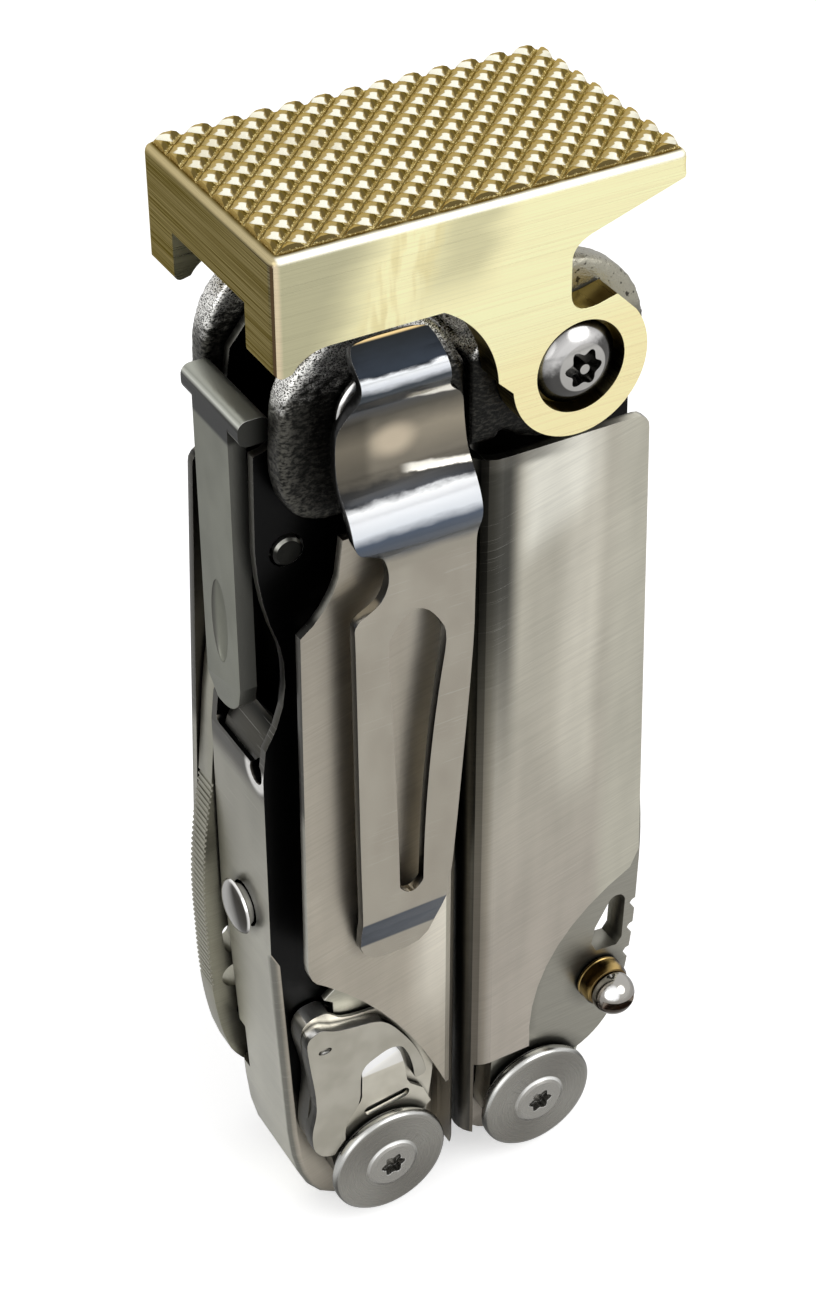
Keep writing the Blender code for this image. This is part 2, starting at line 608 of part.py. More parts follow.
def hammer():
    """Machined brass block: two legs over the left cheek, two lugs on the right pivot."""
    pivot = (PIVOT_X, PIVOT_Z)
    left_pivot = (-PIVOT_X, PIVOT_Z)
    sweep = EAR_R + 1.6
    outline = [(-HAMMER_LEFT, HAMMER_RIM), (-HAMMER_LEFT, PIVOT_Z + 7.4)]
    outline += bow((-HAMMER_LEFT + 1.6, PIVOT_Z + 7.8), (-HAMMER_LEFT + 2.6, HAMMER_FLOOR - 0.2),
                   (-HAMMER_LEFT + 5.0, HAMMER_FLOOR), 4)
    start = math.degrees(math.asin((HAMMER_FLOOR - PIVOT_Z) / sweep))
    outline += arc(left_pivot, sweep, start, 4, 7)
    outline += arc(pivot, LUG_R, 186, 397, 16)
    outline += [(PIVOT_X + 3.6, PIVOT_Z + 6.5), (PIVOT_X + 0.2, PIVOT_Z + 5.4),
                (PIVOT_X - 1.3, PIVOT_Z + 7.0),
                (PIVOT_X - 1.4, HAMMER_TOP - OVERHANG_ROOT - 1.8),
                (PIVOT_X + 0.8, HAMMER_TOP - OVERHANG_ROOT),
                (HAMMER_RIGHT - 0.4, HAMMER_TOP - OVERHANG_TIP),
                (HAMMER_RIGHT, HAMMER_TOP - OVERHANG_TIP + 1.1), (HAMMER_RIGHT, HAMMER_RIM)]
    solid = plate("hammer_head", [outline], -HAMMER_Y, HAMMER_Y)
    round_edges(solid, HAMMER_EDGE, 2, lambda point: point.z > HAMMER_RIM - 0.01
                or abs(abs(point.y) - HAMMER_Y) < 0.01)
    join(solid, knurling())
    cheek_room = [(-PIVOT_X - 3, 80), (HAMMER_RIGHT + 10, 80), (HAMMER_RIGHT + 10, HAMMER_FLOOR),
                  (-PIVOT_X - 3, HAMMER_FLOOR)]
    cut(solid, plate("hammer_cheek_room", [cheek_room], -LUG_IN, LUG_IN, "Y", CUTTERS))
    slot = [(-HAMMER_LEFT - 5, 80), (PIVOT_X - 3, 80), (PIVOT_X - 3, SLOT_CEILING),
            (-HAMMER_LEFT - 5, SLOT_CEILING)]
    cut(solid, plate("hammer_slot", [slot], -LEG_INNER_Y, LEG_INNER_Y, "Y", CUTTERS))
    reach = HAMMER_Y + 1
    hole(solid, SCREW_R + GAP + 0.1, PIVOT_X, PIVOT_Z, -reach, reach)
    for face in (FRONT, BACK):
        low, high = sorted((face * LUG_FLOOR, face * reach))
        bore = rod("hammer_bore_" + FACE_NAME[face], SCREW_HEAD_R + 0.5, (PIVOT_X, 0, PIVOT_Z),
                   low, high, "Y", 28, CUTTERS)
        cut(solid, bore)
    return finish(solid, HAMMER, BRASS, 0.3)


hammer()


# ---------------------------------------------------------------- pocket clip
def pocket_clip():
    """Bent strip of spring steel with a notch, a teardrop slot and a ribbed head."""
    face = -(WALL_Y + GAP + CLIP_SHEET)
    side_view = [(face, CLIP_FOOT), (face, CLIP_FOOT + 2.0), (face - 1.4, CLIP_FOOT + 6.8),
                 (face - 1.5, CLIP_FOOT + 10), (face - 1.4, 85.0), (face - 1.5, 90.6)]
    side_view += bow((face - 1.8, 92.0), (face - 4.4, 96.0), (face - 1.7, 100.0), 5)
    side_view += bow((face - 1.2, 101.2), (face - 0.7, 104.6), (face - 1.2, 107.6), 3)
    side_view += bow((face - 1.7, CLIP_TOP - 4.7), (face - 4.2, CLIP_TOP - 2.0),
                     (face - 1.4, CLIP_TOP), 5)
    loop = side_view + beside(side_view, -CLIP_SHEET)[::-1]
    solid = plate("pocket_clip", [loop], -17.0, 0.0, "X")
    front = [(5.4, CLIP_FOOT - 1), (3.8, CLIP_FOOT + 7), (1.4, 78.0), (1.3, 87.5), (1.4, 93.5),
             (2.1, 98.0), (2.5, 104.0), (4.2, 106.8), (5.1, 110.5), (5.9, CLIP_TOP + 1),
             (14.4, CLIP_TOP + 1), (13.8, 110.7), (14.1, 108.1)]
    front += bow((15.4, 106.2), (15.8, 103.0), (15.4, 99.0), 3)
    front += bow((15.2, 97.0), (15.0, 93.6), (13.2, 93.3), 3)
    front += bow((11.4, 92.2), (9.6, 89.0), (11.6, 86.6), 4)
    front += [(14.2, 85.2), (14.1, 83.0), (13.9, CLIP_FOOT + 7), (13.1, CLIP_FOOT - 1)]
    tear = bow((9.6, 51.6), (9.7, 60.0), (10.6, 80.0), 4)
    tear += bow((10.6, 82.0), (7.6, 88.0), (4.5, 81.5), 6)
    tear += bow((4.4, 79.8), (6.7, 66.0), (6.9, 51.6), 4)
    tear += bow((6.9, 51.0), (8.2, 48.9), (9.6, 51.0), 3)
    shape = [mirrored(front, LEFT), mirrored(tear, LEFT)]
    keep(solid, plate("pocket_clip_mask", shape, face - 6, face + 4, "Y", CUTTERS))
    return finish(solid, HANDLES[LEFT], BRIGHT, 0.14)


pocket_clip()


# ---------------------------------------------------------------- T-headed side bar
def side_bar():
    """Flat bar whose T head rocks in the saddles of the channel walls."""
    middle = (-(BAR_X - T_DEPTH / 2), T_Z)
    half_x, half_z, corner = T_DEPTH / 2, T_HEIGHT / 2, 0.8
    head = []
    for start, sx, sz in ((0, 1, 1), (90, -1, 1), (180, -1, -1), (270, 1, -1)):
        centre = (middle[0] + sx * (half_x - corner), middle[1] + sz * (half_z - corner))
        head += arc(centre, corner, start, start + 90, 3)
    solid = plate("side_bar", [head], -T_HALF_LENGTH, T_HALF_LENGTH)
    width = BAR_HALF_WIDTH
    flat = [(-width, T_Z), (-width, BAR_FOOT + 4.2)]
    flat += bow((-width + 0.4, BAR_FOOT + 2.2), (-width + 2.0, BAR_FOOT - 0.3),
                (width - 2.0, BAR_FOOT), 5)
    flat += [(width, BAR_FOOT + 2.0), (width, T_Z)]
    strip = plate("side_bar_strip", [flat], -BAR_X, -BAR_X + BAR_THICK, "X", CUTTERS)
    join(solid, strip)
    nick = bmesh.new()
    bmesh.ops.create_uvsphere(nick, u_segments=16, v_segments=8, radius=MM)
    bmesh.ops.scale(nick, verts=nick.verts, vec=(0.8, 1.7, 4.8))
    bmesh.ops.translate(nick, verts=nick.verts, vec=(-BAR_X * MM, 0.2 * MM, (BAR_FOOT + 10) * MM))
    mesh = bpy.data.meshes.new("side_bar_nick")
    nick.to_mesh(mesh)
    nick.free()
    tool = bpy.data.objects.new("side_bar_nick", mesh)
    CUTTERS.objects.link(tool)
    cut(solid, tool)
    return finish(solid, BAR, SATIN, 0.36)


side_bar()


# ---------------------------------------------------------------- tool axles, discs and buttons
def tool_disc(side, face):
    """Large flat head of the tool axle, with a raised boss and a small six-lobe recess."""
    name = "tool_disc_%s_%s" % (SIDE_NAME[side], FACE_NAME[face])
    top = DISC_IN + DISC_THICK
    profile = [(0, top + BOSS_HEIGHT), (BOSS_R - 0.4, top + BOSS_HEIGHT), (BOSS_R, top),
               (DISC_R - 0.5, top), (DISC_R, top - 0.4), (DISC_R, DISC_IN + 0.4),
               (DISC_R - 0.4, DISC_IN), (0, DISC_IN)]
    solid = turned(name, profile, (side * AXLE_X, 0, AXLE_Z), "Y", face, 32)
    low, high = sorted((face * (top - 0.6), face * (top + 2)))
    recess = lobed((side * AXLE_X, AXLE_Z), 1.5)
    cut(solid, plate(name + "_recess", [recess], low, high, "Y", CUTTERS))
    return finish(solid, HANDLES[side], SATIN, 0.24)


def lock_button(side):
    """Mushroom button in the web, pressed inwards against the lock spring."""
    name = "lock_button_" + SIDE_NAME[side]
    seat = WEB_X + BUTTON_STANDOFF
    stem_end = SPRING_X + SPRING_THICK + BUTTON_STANDOFF
    profile = bow((0.01, seat + BUTTON_DOME + 0.4), (BUTTON_R, seat + BUTTON_DOME + 0.2),
                  (BUTTON_R, seat + 0.3), 5)
    profile = [(0, seat + BUTTON_DOME + 0.4)] + profile[1:]
    profile += [(BUTTON_R, seat), (BUTTON_STEM_R, seat), (BUTTON_STEM_R, stem_end), (0, stem_end)]
    solid = turned(name, profile, (0, 0, BUTTON_Z), "X", side, 24)
    empty = body(name, side * (WEB_X + BUTTON_STANDOFF), 0, BUTTON_Z)
    return finish(solid, empty, BRIGHT, 0.2)


def lock_spring(side):
    """Flat spring inside the web, behind the button."""
    low, high = sorted((side * SPRING_X, side * (SPRING_X + SPRING_THICK)))
    half = CHANNEL_Y - SHEET - GAP - 0.1
    outline = [(-half, 20.0), (half, 20.0), (half, 58.0), (half - 1.5, 60.0),
               (-half + 1.5, 60.0), (-half, 58.0)]
    solid = plate("lock_spring_" + SIDE_NAME[side], [outline], low, high, "X")
    return finish(solid, HANDLES[side], SATIN, 0.35)


for side in (RIGHT, LEFT):
    end = POCKET_OUT
    rod_name = "tool_axle_" + SIDE_NAME[side]
    axle_rod = rod(rod_name, AXLE_R, (side * AXLE_X, 0, AXLE_Z), -end, end)
    finish(axle_rod, HANDLES[side], SATIN, 0.3)
    pin_end = CHANNEL_Y + 0.5
    pin = rod("stop_pin_" + SIDE_NAME[side], STOP_PIN_R, (side * STOP_PIN_X, 0, STOP_PIN_Z),
              -pin_end, pin_end, "Y", 16)
    finish(pin, HANDLES[side], SATIN, 0.3)
    lock_button(side)
    lock_spring(side)
    for face in (FRONT, BACK):
        tool_disc(side, face)


# ---------------------------------------------------------------- outer blades
def knife_outline():
    """Blade with its edge to the centre and its spine bulging out beyond the handle."""
    axle = (AXLE_X, AXLE_Z)
    spine = bow((7.6, 90.5), (17.5, 88.0), (19.9, 66.0), 6)
    spine += bow((20.9, 55.0), (22.7, 46.0), (22.6, 38.0), 4)
    spine += bow((22.5, 33.0), (22.4, 25.0), (21.2, 19.4), 4)
    spine += bow((20.4, 16.6), (18.4, 12.6), (14.4, 11.6), 4)
    tang = arc(axle, TANG_R, 18, -196, 14)
    return spine + tang + [(4.3, 16.0), (4.6, 24.0), (4.2, 60.0)] + bow(
        (4.3, 68.0), (4.6, 82.0), (7.0, 90.0), 4)


def oblong(start, end, radius, count=5):
    """Round-ended slot between two centres."""
    tilt = math.degrees(math.atan2(end[1] - start[1], end[0] - start[0]))
    return (arc(end, radius, tilt - 90, tilt + 90, count)
            + arc(start, radius, tilt + 90, tilt + 270, count))


def outer_blade(name, side, face, owner, loops, colour=SATIN, roughness=0.28):
    """A folding blade in one of the side pockets, with its axle hole."""
    low, high = sorted((face * POCKET_IN, face * POCKET_OUT))
    hole_loop = circle((AXLE_X, AXLE_Z), AXLE_R + GAP, 20)
    shape = [mirrored(loop, side) for loop in [*loops, hole_loop]]
    return finish(plate(name, shape, low, high), owner, colour, roughness)


def stud(name, side, face, owner):
    """Bronze collar and slotted ball screw that serve as a thumb stud."""
    centre = (side * STUD_X, 0, STUD_Z)
    base = POCKET_OUT + GAP
    top = base + COLLAR_HEIGHT
    inner = STUD_NECK_R + GAP
    ring = [(COLLAR_R, base), (COLLAR_R, base + 0.4), (COLLAR_R - 0.5, top), (inner, top),
            (inner, base), (COLLAR_R, base)]
    collar = turned(name + "_collar", ring, centre, "Y", face, 24)
    finish(collar, owner, BRONZE, 0.4)
    ball_centre = top + GAP + STUD_BALL_SINK
    cut_angle = math.degrees(math.asin(STUD_BALL_SINK / STUD_BALL_R))
    ball = arc((0, ball_centre), STUD_BALL_R, 90, -cut_angle, 8)
    ball[0] = (0, ball_centre + STUD_BALL_R)
    ball += [(STUD_NECK_R, ball[-1][1]), (STUD_NECK_R, POCKET_IN + 0.4), (0, POCKET_IN + 0.4)]
    screw = turned(name + "_stud", ball, centre, "Y", face, 20)
    slit = [(side * STUD_X - 3, STUD_Z - 0.35), (side * STUD_X + 3, STUD_Z - 0.35),
            (side * STUD_X + 3, STUD_Z + 0.35), (side * STUD_X - 3, STUD_Z + 0.35)]
    low, high = sorted((face * (ball_centre + 1.4), face * (ball_centre + 4)))
    cut(screw, plate(name + "_slit", [slit], low, high, "Y", CUTTERS))
    finish(screw, owner, BRIGHT, 0.2)


def outer_tools():
    """The four tools of the side pockets."""
    stud_hole = circle((STUD_X, STUD_Z), STUD_NECK_R + GAP, 14)
    thumb_slot = arc((19.95, 32.1), 1.15, 0, 165, 6)
    thumb_slot += [(17.3, 29.6), (16.9, 27.4), (17.6, 26.0), (20.3, 25.7), (20.95, 26.6)]
    outer_blade("knife_blade", RIGHT, FRONT, BLADES["knife"],
                [knife_outline(), stud_hole, thumb_slot])
    stud("knife", RIGHT, FRONT, BLADES["knife"])
    short_slot = oblong((19.6, 32.0), (19.8, 34.2), 0.9)
    round_hole = circle((19.4, 27.6), 1.6, 16)
    outer_blade("serrated_blade", LEFT, BACK, BLADES["serrated"],
                [knife_outline(), stud_hole, short_slot, round_hole])
    stud("serrated", LEFT, BACK, BLADES["serrated"])
    outline = bow((6.0, 88.0), (19.5, 88.5), (19.6, 84.0), 4)
    outline += [(20.2, 60.0), (22.0, 44.0), (22.2, 32.0)]
    outline += bow((21.8, 24.0), (20.6, 13.0), (14.4, 11.6), 4)
    outline += arc((AXLE_X, AXLE_Z), TANG_R, 18, -196, 14) + [(4.3, 16.0), (4.4, 86.0)]
    outer_blade("file_blade", RIGHT, BACK, BLADES["file"], [outline])


outer_tools()


# ---------------------------------------------------------------- saw holder, lever and saw blade
def saw_holder():
    """Folded sheet holder in the left front pocket, with its release lever and saw blade."""
    owner = BLADES["saw"]
    axle = (AXLE_X, AXLE_Z)
    base_in, base_out = POCKET_IN, POCKET_IN + 2.2
    outline = bow((18.8, 30.6), (18.4, 32.6), (15.6, 32.2), 3)
    outline += [(13.8, 30.4), (7.6, 29.9)]
    outline += bow((6.0, 28.8), (3.6, 25.0), (2.8, 18.0), 4)
    outline += [(3.4, 13.0)] + arc(axle, TANG_R, 166, 345, 12)
    outline += [(15.6, 10.4)] + bow((17.2, 12.2), (18.6, 13.8), (18.4, 17.0), 3)
    outline += [(17.7, 23.5), (18.9, 29.0)]
    loops = [outline, circle(axle, AXLE_R + GAP, 20)]
    solid = plate("saw_holder", [mirrored(loop, LEFT) for loop in loops], -base_out, -base_in)
    pad = [(18.9, 30.6), (17.2, 31.6), (15.4, 30.4), (13.8, 30.2), (10.2, 29.6), (8.6, 28.2),
           (6.0, 24.1), (4.8, 21.0), (4.4, 18.8), (5.9, 18.6), (6.1, 20.6), (6.6, 22.6),
           (7.4, 24.2), (8.6, 24.8), (11.8, 23.6), (12.3, 23.0), (12.4, 18.2), (14.6, 15.7),
           (14.4, 12.0),
           (17.2, 12.6), (18.4, 13.8), (18.6, 16.4), (17.9, 19.4), (18.0, 22.5), (18.6, 27.2)]
    join(solid, plate("saw_holder_pad", [mirrored(pad, LEFT)], -POCKET_OUT - 0.6,
                      -base_out + 0.3, "Y", CUTTERS))
    relief = rod("saw_holder_relief", DISC_R + 0.4, (-AXLE_X, 0, AXLE_Z), -POCKET_OUT - 3,
                 -POCKET_OUT, "Y", 32, CUTTERS)
    cut(solid, relief)
    slot = [(15.0 + GAP, 24.0), (7.0 - GAP, 24.0), (7.0 - GAP, 40.0), (15.0 + GAP, 40.0)]
    slot_mid = (base_in + base_out) / 2
    slot_half = SAW_THICK / 2 + GAP
    cut(solid, plate("saw_holder_slot", [mirrored(slot, LEFT)], -slot_mid - slot_half,
                     -slot_mid + slot_half, "Y", CUTTERS))
    finish(solid, owner, SATIN, 0.24)

    lever = [(11.9, 22.6), (6.9, 20.6), (6.5, 18.0), (4.4, 15.8), (3.5, 13.4)]
    lever += arc(axle, TANG_R, 140, 62, 5) + [(13.9, 12.6), (14.1, 15.4), (12.0, 18.0)]
    oval = oblong((11.2, 15.9), (6.9, 16.4), 0.65)
    shape = [mirrored(loop, LEFT) for loop in (lever, oval)]
    low = base_out + GAP
    finish(plate("release_lever", shape, -POCKET_OUT, -low), owner, SATIN, 0.24)

    shank, tip = 24.6, 84.0
    blade = [(7.2, shank), (14.6, shank), (14.6, 32.6)]
    height = 33.4
    while height < tip - SAW_TOOTH:
        blade += [(15.6, height), (14.1, height + SAW_TOOTH * 0.45)]
        height += SAW_TOOTH
    blade += [(14.0, height), (11.0, tip), (8.4, tip), (7.2, tip - 2)]
    finish(plate("saw_blade", [mirrored(blade, LEFT)], -slot_mid - SAW_THICK / 2,
                 -slot_mid + SAW_THICK / 2), owner, BRIGHT, 0.3)


saw_holder()


# ---------------------------------------------------------------- inner tools
def inner_tools():
    """Three tools side by side in each channel, on the same axle as the outer ones."""
    axle = (AXLE_X, AXLE_Z)
    pitch = INNER_TOOL_THICK + GAP + 0.05
    reach = SPRING_X - 0.7
    tang = arc(axle, 7.0, 10, -190, 12)
    shapes = {
        "can_opener": [(9.0, 20.0), (8.4, 56.0), (9.8, 60.0), (8.6, 64.0), (10.0, 68.0),
                       (13.5, 69.0), (reach, 60.0), (reach, 14.0)],
        "large_driver": [(8.4, 20.0), (9.0, 70.0), (10.0, 74.0), (14.0, 74.0), (14.6, 70.0),
                         (reach, 20.0), (reach, 14.0)],
        "awl": [(9.0, 20.0), (9.4, 50.0), (12.0, 72.0), (13.0, 72.0), (reach, 48.0),
                (reach, 14.0)],
        "bit_driver": [(8.4, 20.0), (8.4, 66.0), (9.4, 67.4), (15.0, 67.4), (reach, 66.0),
                       (reach, 14.0)],
        "small_driver": [(9.0, 20.0), (10.2, 66.0), (10.8, 72.0), (13.0, 72.0), (13.6, 66.0),
                         (reach, 20.0), (reach, 14.0)],
        "wire_stripper": [(9.0, 20.0), (8.4, 50.0), (10.0, 52.0), (8.6, 54.0), (9.4, 66.0),
                          (14.0, 68.0), (reach, 60.0), (reach, 14.0)],
    }
    order = ((LEFT, ("can_opener", "large_driver", "awl")),
             (RIGHT, ("bit_driver", "small_driver", "wire_stripper")))
    for side, names in order:
        for index, name in enumerate(names):
            middle = (index - 1) * pitch
            loops = [shapes[name] + tang, circle(axle, AXLE_R + GAP, 20)]
            shape = [mirrored(loop, side) for loop in loops]
            low, high = middle - INNER_TOOL_THICK / 2, middle + INNER_TOOL_THICK / 2
            finish(plate(name, shape, low, high), HANDLES[side], SATIN, 0.3)


inner_tools()
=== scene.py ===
import json
import math
from contextlib import contextmanager

import bmesh
import bpy
from mathutils import Matrix, Vector

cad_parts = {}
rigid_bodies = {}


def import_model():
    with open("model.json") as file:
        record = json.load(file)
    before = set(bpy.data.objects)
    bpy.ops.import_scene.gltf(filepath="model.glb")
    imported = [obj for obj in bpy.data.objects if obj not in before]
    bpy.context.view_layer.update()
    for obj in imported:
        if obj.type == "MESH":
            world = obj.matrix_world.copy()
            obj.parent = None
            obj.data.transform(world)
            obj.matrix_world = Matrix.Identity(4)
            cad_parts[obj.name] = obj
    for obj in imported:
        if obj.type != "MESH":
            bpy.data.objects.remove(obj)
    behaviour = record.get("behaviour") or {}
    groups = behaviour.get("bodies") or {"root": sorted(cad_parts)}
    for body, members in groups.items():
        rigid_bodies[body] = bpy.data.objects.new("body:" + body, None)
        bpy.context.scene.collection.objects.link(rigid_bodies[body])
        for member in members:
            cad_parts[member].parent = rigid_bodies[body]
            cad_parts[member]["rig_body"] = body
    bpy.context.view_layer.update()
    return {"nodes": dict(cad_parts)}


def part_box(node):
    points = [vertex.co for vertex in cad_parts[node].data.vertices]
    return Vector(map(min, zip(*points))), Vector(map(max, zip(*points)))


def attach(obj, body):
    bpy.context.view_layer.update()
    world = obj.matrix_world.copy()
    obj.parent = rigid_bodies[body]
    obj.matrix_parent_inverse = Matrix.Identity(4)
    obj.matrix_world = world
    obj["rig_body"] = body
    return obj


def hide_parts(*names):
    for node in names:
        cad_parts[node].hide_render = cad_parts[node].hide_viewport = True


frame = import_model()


# ---------------------------------------------------------------- table, lamps and camera
# The tool stands on a plain pale table top and is seen from above its front left corner.
# Two soft lamps light it from the front, and all that it mirrors is white.
def wired(tree, kind, settings=None, sockets=None):
    """Add a node to a tree: its settings first, then its values or links."""
    node = tree.nodes.new(kind)
    for key, value in (settings or {}).items():
        setattr(node, key, value)
    for key, value in (sockets or {}).items():
        if isinstance(value, bpy.types.NodeSocket):
            tree.links.new(value, node.inputs[key])
        else:
            node.inputs[key].default_value = value
    return node


def show(name, data):
    """Put a mesh, a curve, a lamp or a camera into the scene."""
    piece = bpy.data.objects.new(name, data)
    bpy.context.scene.collection.objects.link(piece)
    return piece


table_mesh = bpy.data.meshes.new("table_top")
table_mesh.from_pydata([(-4, -4, 0), (4, -4, 0), (4, 4, 0), (-4, 4, 0)], [], [(0, 1, 2, 3)])
table = show("table_top", table_mesh)
table_paint = bpy.data.materials.new("table_paint")
table_paint.use_nodes = True
table_shader = table_paint.node_tree.nodes["Principled BSDF"]
table_shader.inputs["Base Color"].default_value = (0.92, 0.92, 0.92, 1)
table_shader.inputs["Roughness"].default_value = 0.9
table_shader.inputs["Emission Color"].default_value = (1, 1, 1, 1)
rays = wired(table_paint.node_tree, "ShaderNodeLightPath").outputs
glow = wired(table_paint.node_tree, "ShaderNodeMath", {"operation": "MULTIPLY"},
             {0: rays["Is Camera Ray"], 1: 0.5})
table_paint.node_tree.links.new(glow.outputs[0], table_shader.inputs["Emission Strength"])
table_mesh.materials.append(table_paint)

studio = bpy.data.worlds.new("studio")
bpy.context.scene.world = studio
studio.use_nodes = True
backdrop = studio.node_tree.nodes["Background"]
backdrop.inputs["Color"].default_value = (1, 1, 1, 1)
rays = wired(studio.node_tree, "ShaderNodeLightPath").outputs
seen = wired(studio.node_tree, "ShaderNodeMath", {"operation": "MAXIMUM"},
             {0: rays["Is Camera Ray"], 1: rays["Is Glossy Ray"]})
mirrored_too = wired(studio.node_tree, "ShaderNodeMath", {"operation": "MAXIMUM"},
                     {0: seen.outputs[0], 1: rays["Is Transmission Ray"]})
level = wired(studio.node_tree, "ShaderNodeMapRange", {},
              {"Value": mirrored_too.outputs[0], "To Min": 0.55, "To Max": 1.0})
studio.node_tree.links.new(level.outputs[0], backdrop.inputs["Strength"])

for lamp_name, place, power in (("lamp_right", (0.45, -0.75, 0.75), 5.0),
                                ("lamp_left", (-0.75, -0.55, 0.45), 2.0)):
    lamp_data = bpy.data.lights.new(lamp_name, "AREA")
    lamp_data.shape = "DISK"
    lamp_data.size = 0.85
    lamp_data.energy = power
    aim = (Vector((0, 0, 0.06)) - Vector(place)).to_track_quat("-Z", "Y").to_matrix().to_4x4()
    show(lamp_name, lamp_data).matrix_world = Matrix.Translation(place) @ aim

PHOTO_HEIGHT, FOCAL_PIXELS, SHIFT_PIXELS = 1300, 2593.196, -40
azimuth, elevation, roll, distance = -0.533623, 0.634301, 0.009277, 0.263065
toward = Vector((math.sin(azimuth) * math.cos(elevation), -math.cos(azimuth) * math.cos(elevation),
                 math.sin(elevation)))
right = (-toward).cross(Vector((0, 0, 1))).normalized()
upward = right.cross(-toward)
right, upward = (right * math.cos(roll) + upward * math.sin(roll),
                 upward * math.cos(roll) - right * math.sin(roll))
camera_data = bpy.data.cameras.new("camera")
camera_data.sensor_width = 36
camera_data.lens = FOCAL_PIXELS * camera_data.sensor_width / PHOTO_HEIGHT
camera_data.shift_x = camera_data.shift_y = SHIFT_PIXELS / PHOTO_HEIGHT
camera_data.clip_start = 0.01
camera = show("camera", camera_data)
eye = Vector((0.004348, 0.001508, 0.071016)) + toward * distance
camera.matrix_world = (Matrix.Translation(eye)
                       @ Matrix((right, upward, toward)).transposed().to_4x4())
bpy.context.scene.camera = camera
bpy.context.scene.view_settings.view_transform = "Standard"


# ---------------------------------------------------------------- hammer head
# A machined brass block with a knurled striking face, two lugs that take the right handle's
# pivot screw, and two legs that hang over the left cheek. Its long faces are brushed lengthwise.
MM = 0.001


class Reading:
    """One value over a surface. A sum on it adds a Math node."""

    def __init__(self, finish, socket):
        self.finish = finish
        self.socket = socket

    def sum(self, operation, *values):
        return self.finish.add("ShaderNodeMath", {"operation": operation}, dict(enumerate(values)))

    def __add__(self, other):
        return self.sum("ADD", self, other)

    def __sub__(self, other):
        return self.sum("SUBTRACT", self, other)

    def __rsub__(self, other):
        return self.sum("SUBTRACT", other, self)

    def __mul__(self, other):
        return self.sum("MULTIPLY", self, other)

    def __truediv__(self, other):
        return self.sum("DIVIDE", self, other)

    def __rtruediv__(self, other):
        return self.sum("DIVIDE", other, self)

    def __pow__(self, other):
        return self.sum("POWER", self, other)

    def __neg__(self):
        return self * -1.0

    def __abs__(self):
        return self.sum("ABSOLUTE", self)

    __radd__ = __add__
    __rmul__ = __mul__

    def band(self, low, high):
        """0 below low, 1 above high, and smooth between them."""
        settings = {"interpolation_type": "SMOOTHSTEP"}
        if low > high:
            return 1 - self.band(high, low)
        return self.finish.add("ShaderNodeMapRange", settings, {0: self, 1: low, 2: high})


class Finish:
    """The finish of a piece: one material in millimetres, whose tone is laid on in coats."""

    def __init__(self, name, metallic=1.0):
        self.material = bpy.data.materials.new(name)
        self.material.use_nodes = True
        self.tree = self.material.node_tree
        self.tone = None
        self.shader = self.tree.nodes["Principled BSDF"]
        self.shader.inputs["Metallic"].default_value = metallic
        self.place = self.add("ShaderNodeVectorMath", {"operation": "SCALE"},
                              {0: self.add("ShaderNodeTexCoord", output=3), "Scale": 1000.0})

    def add(self, kind, settings=None, sockets=None, output=0, stops=()):
        """Add a node, a ramp with its (position, colour) stops, and read one of its outputs."""
        node = wired(self.tree, kind, settings)
        for index, (position, colour) in enumerate(stops):
            ramp = node.color_ramp.elements
            stop = ramp[index] if index < 2 else ramp.new(position)
            stop.position = position
            stop.color = (*colour, 1)
        for key, value in (sockets or {}).items():
            self.set(node.inputs[key], value)
        return Reading(self, node.outputs[output])

    def set(self, socket, value):
        if isinstance(value, Reading):
            self.tree.links.new(value.socket, socket)
        elif isinstance(value, tuple) and socket.type == "RGBA" and len(value) == 3:
            socket.default_value = (*value, 1)
        else:
            socket.default_value = value

    def split(self, vector):
        """The three numbers of a vector."""
        node = self.add("ShaderNodeSeparateXYZ", None, {0: vector}).socket.node
        return [Reading(self, node.outputs[index]) for index in range(3)]

    def facing(self):
        """The way the surface faces, as three numbers."""
        return self.split(self.add("ShaderNodeTexCoord", output=1))

    def axes(self):
        """The place on the surface and the way it faces, as six numbers."""
        return self.split(self.place) + self.facing()

    def mix(self, amount, first, second):
        return self.add("ShaderNodeMix", {"data_type": "RGBA"}, {0: amount, 6: first, 7: second}, 2)

    def times(self, colour, amount):
        return self.add("ShaderNodeMix", {"data_type": "RGBA", "blend_type": "MULTIPLY"},
                        {0: 1.0, 6: colour, 7: amount}, 2)

    def over(self, amount, colour):
        """Lay a colour over the tone so far."""
        self.tone = self.mix(amount, self.tone, colour)

    def shade(self, amount):
        """Multiply the tone so far."""
        self.tone = self.times(self.tone, amount)

    def grain(self, pitches, detail=3.0, place=None):
        """Noise from 0 to 1 whose lumps have these sizes along X, Y and Z, in millimetres."""
        scaled = self.add("ShaderNodeVectorMath", {"operation": "DIVIDE"},
                          {0: place or self.place, 1: pitches})
        return self.add("ShaderNodeTexNoise", None, {"Vector": scaled, "Scale": 1.0,
                                                     "Detail": detail, "Roughness": 0.6})

    def hollow(self, reach):
        """1 in the open, towards 0 deep between pieces, for painting shade into recesses."""
        return self.add("ShaderNodeAmbientOcclusion", {"samples": 8},
                        {"Distance": reach * MM}, "AO")

    def edge(self):
        """1 on a piece's broken edges."""
        return self.add("ShaderNodeAttribute", {"attribute_name": "edge"}, None, "Fac")

    def close(self, roughness, height=None, depth=0.01):
        """Wire the tone, the roughness and a relief of this depth in millimetres."""
        self.set(self.shader.inputs["Base Color"], self.tone)
        self.set(self.shader.inputs["Roughness"], roughness)
        if height is not None:
            bump = self.add("ShaderNodeBump", None, {"Strength": 1.0, "Distance": depth * MM,
                                                     "Height": height})
            self.set(self.shader.inputs["Normal"], bump)


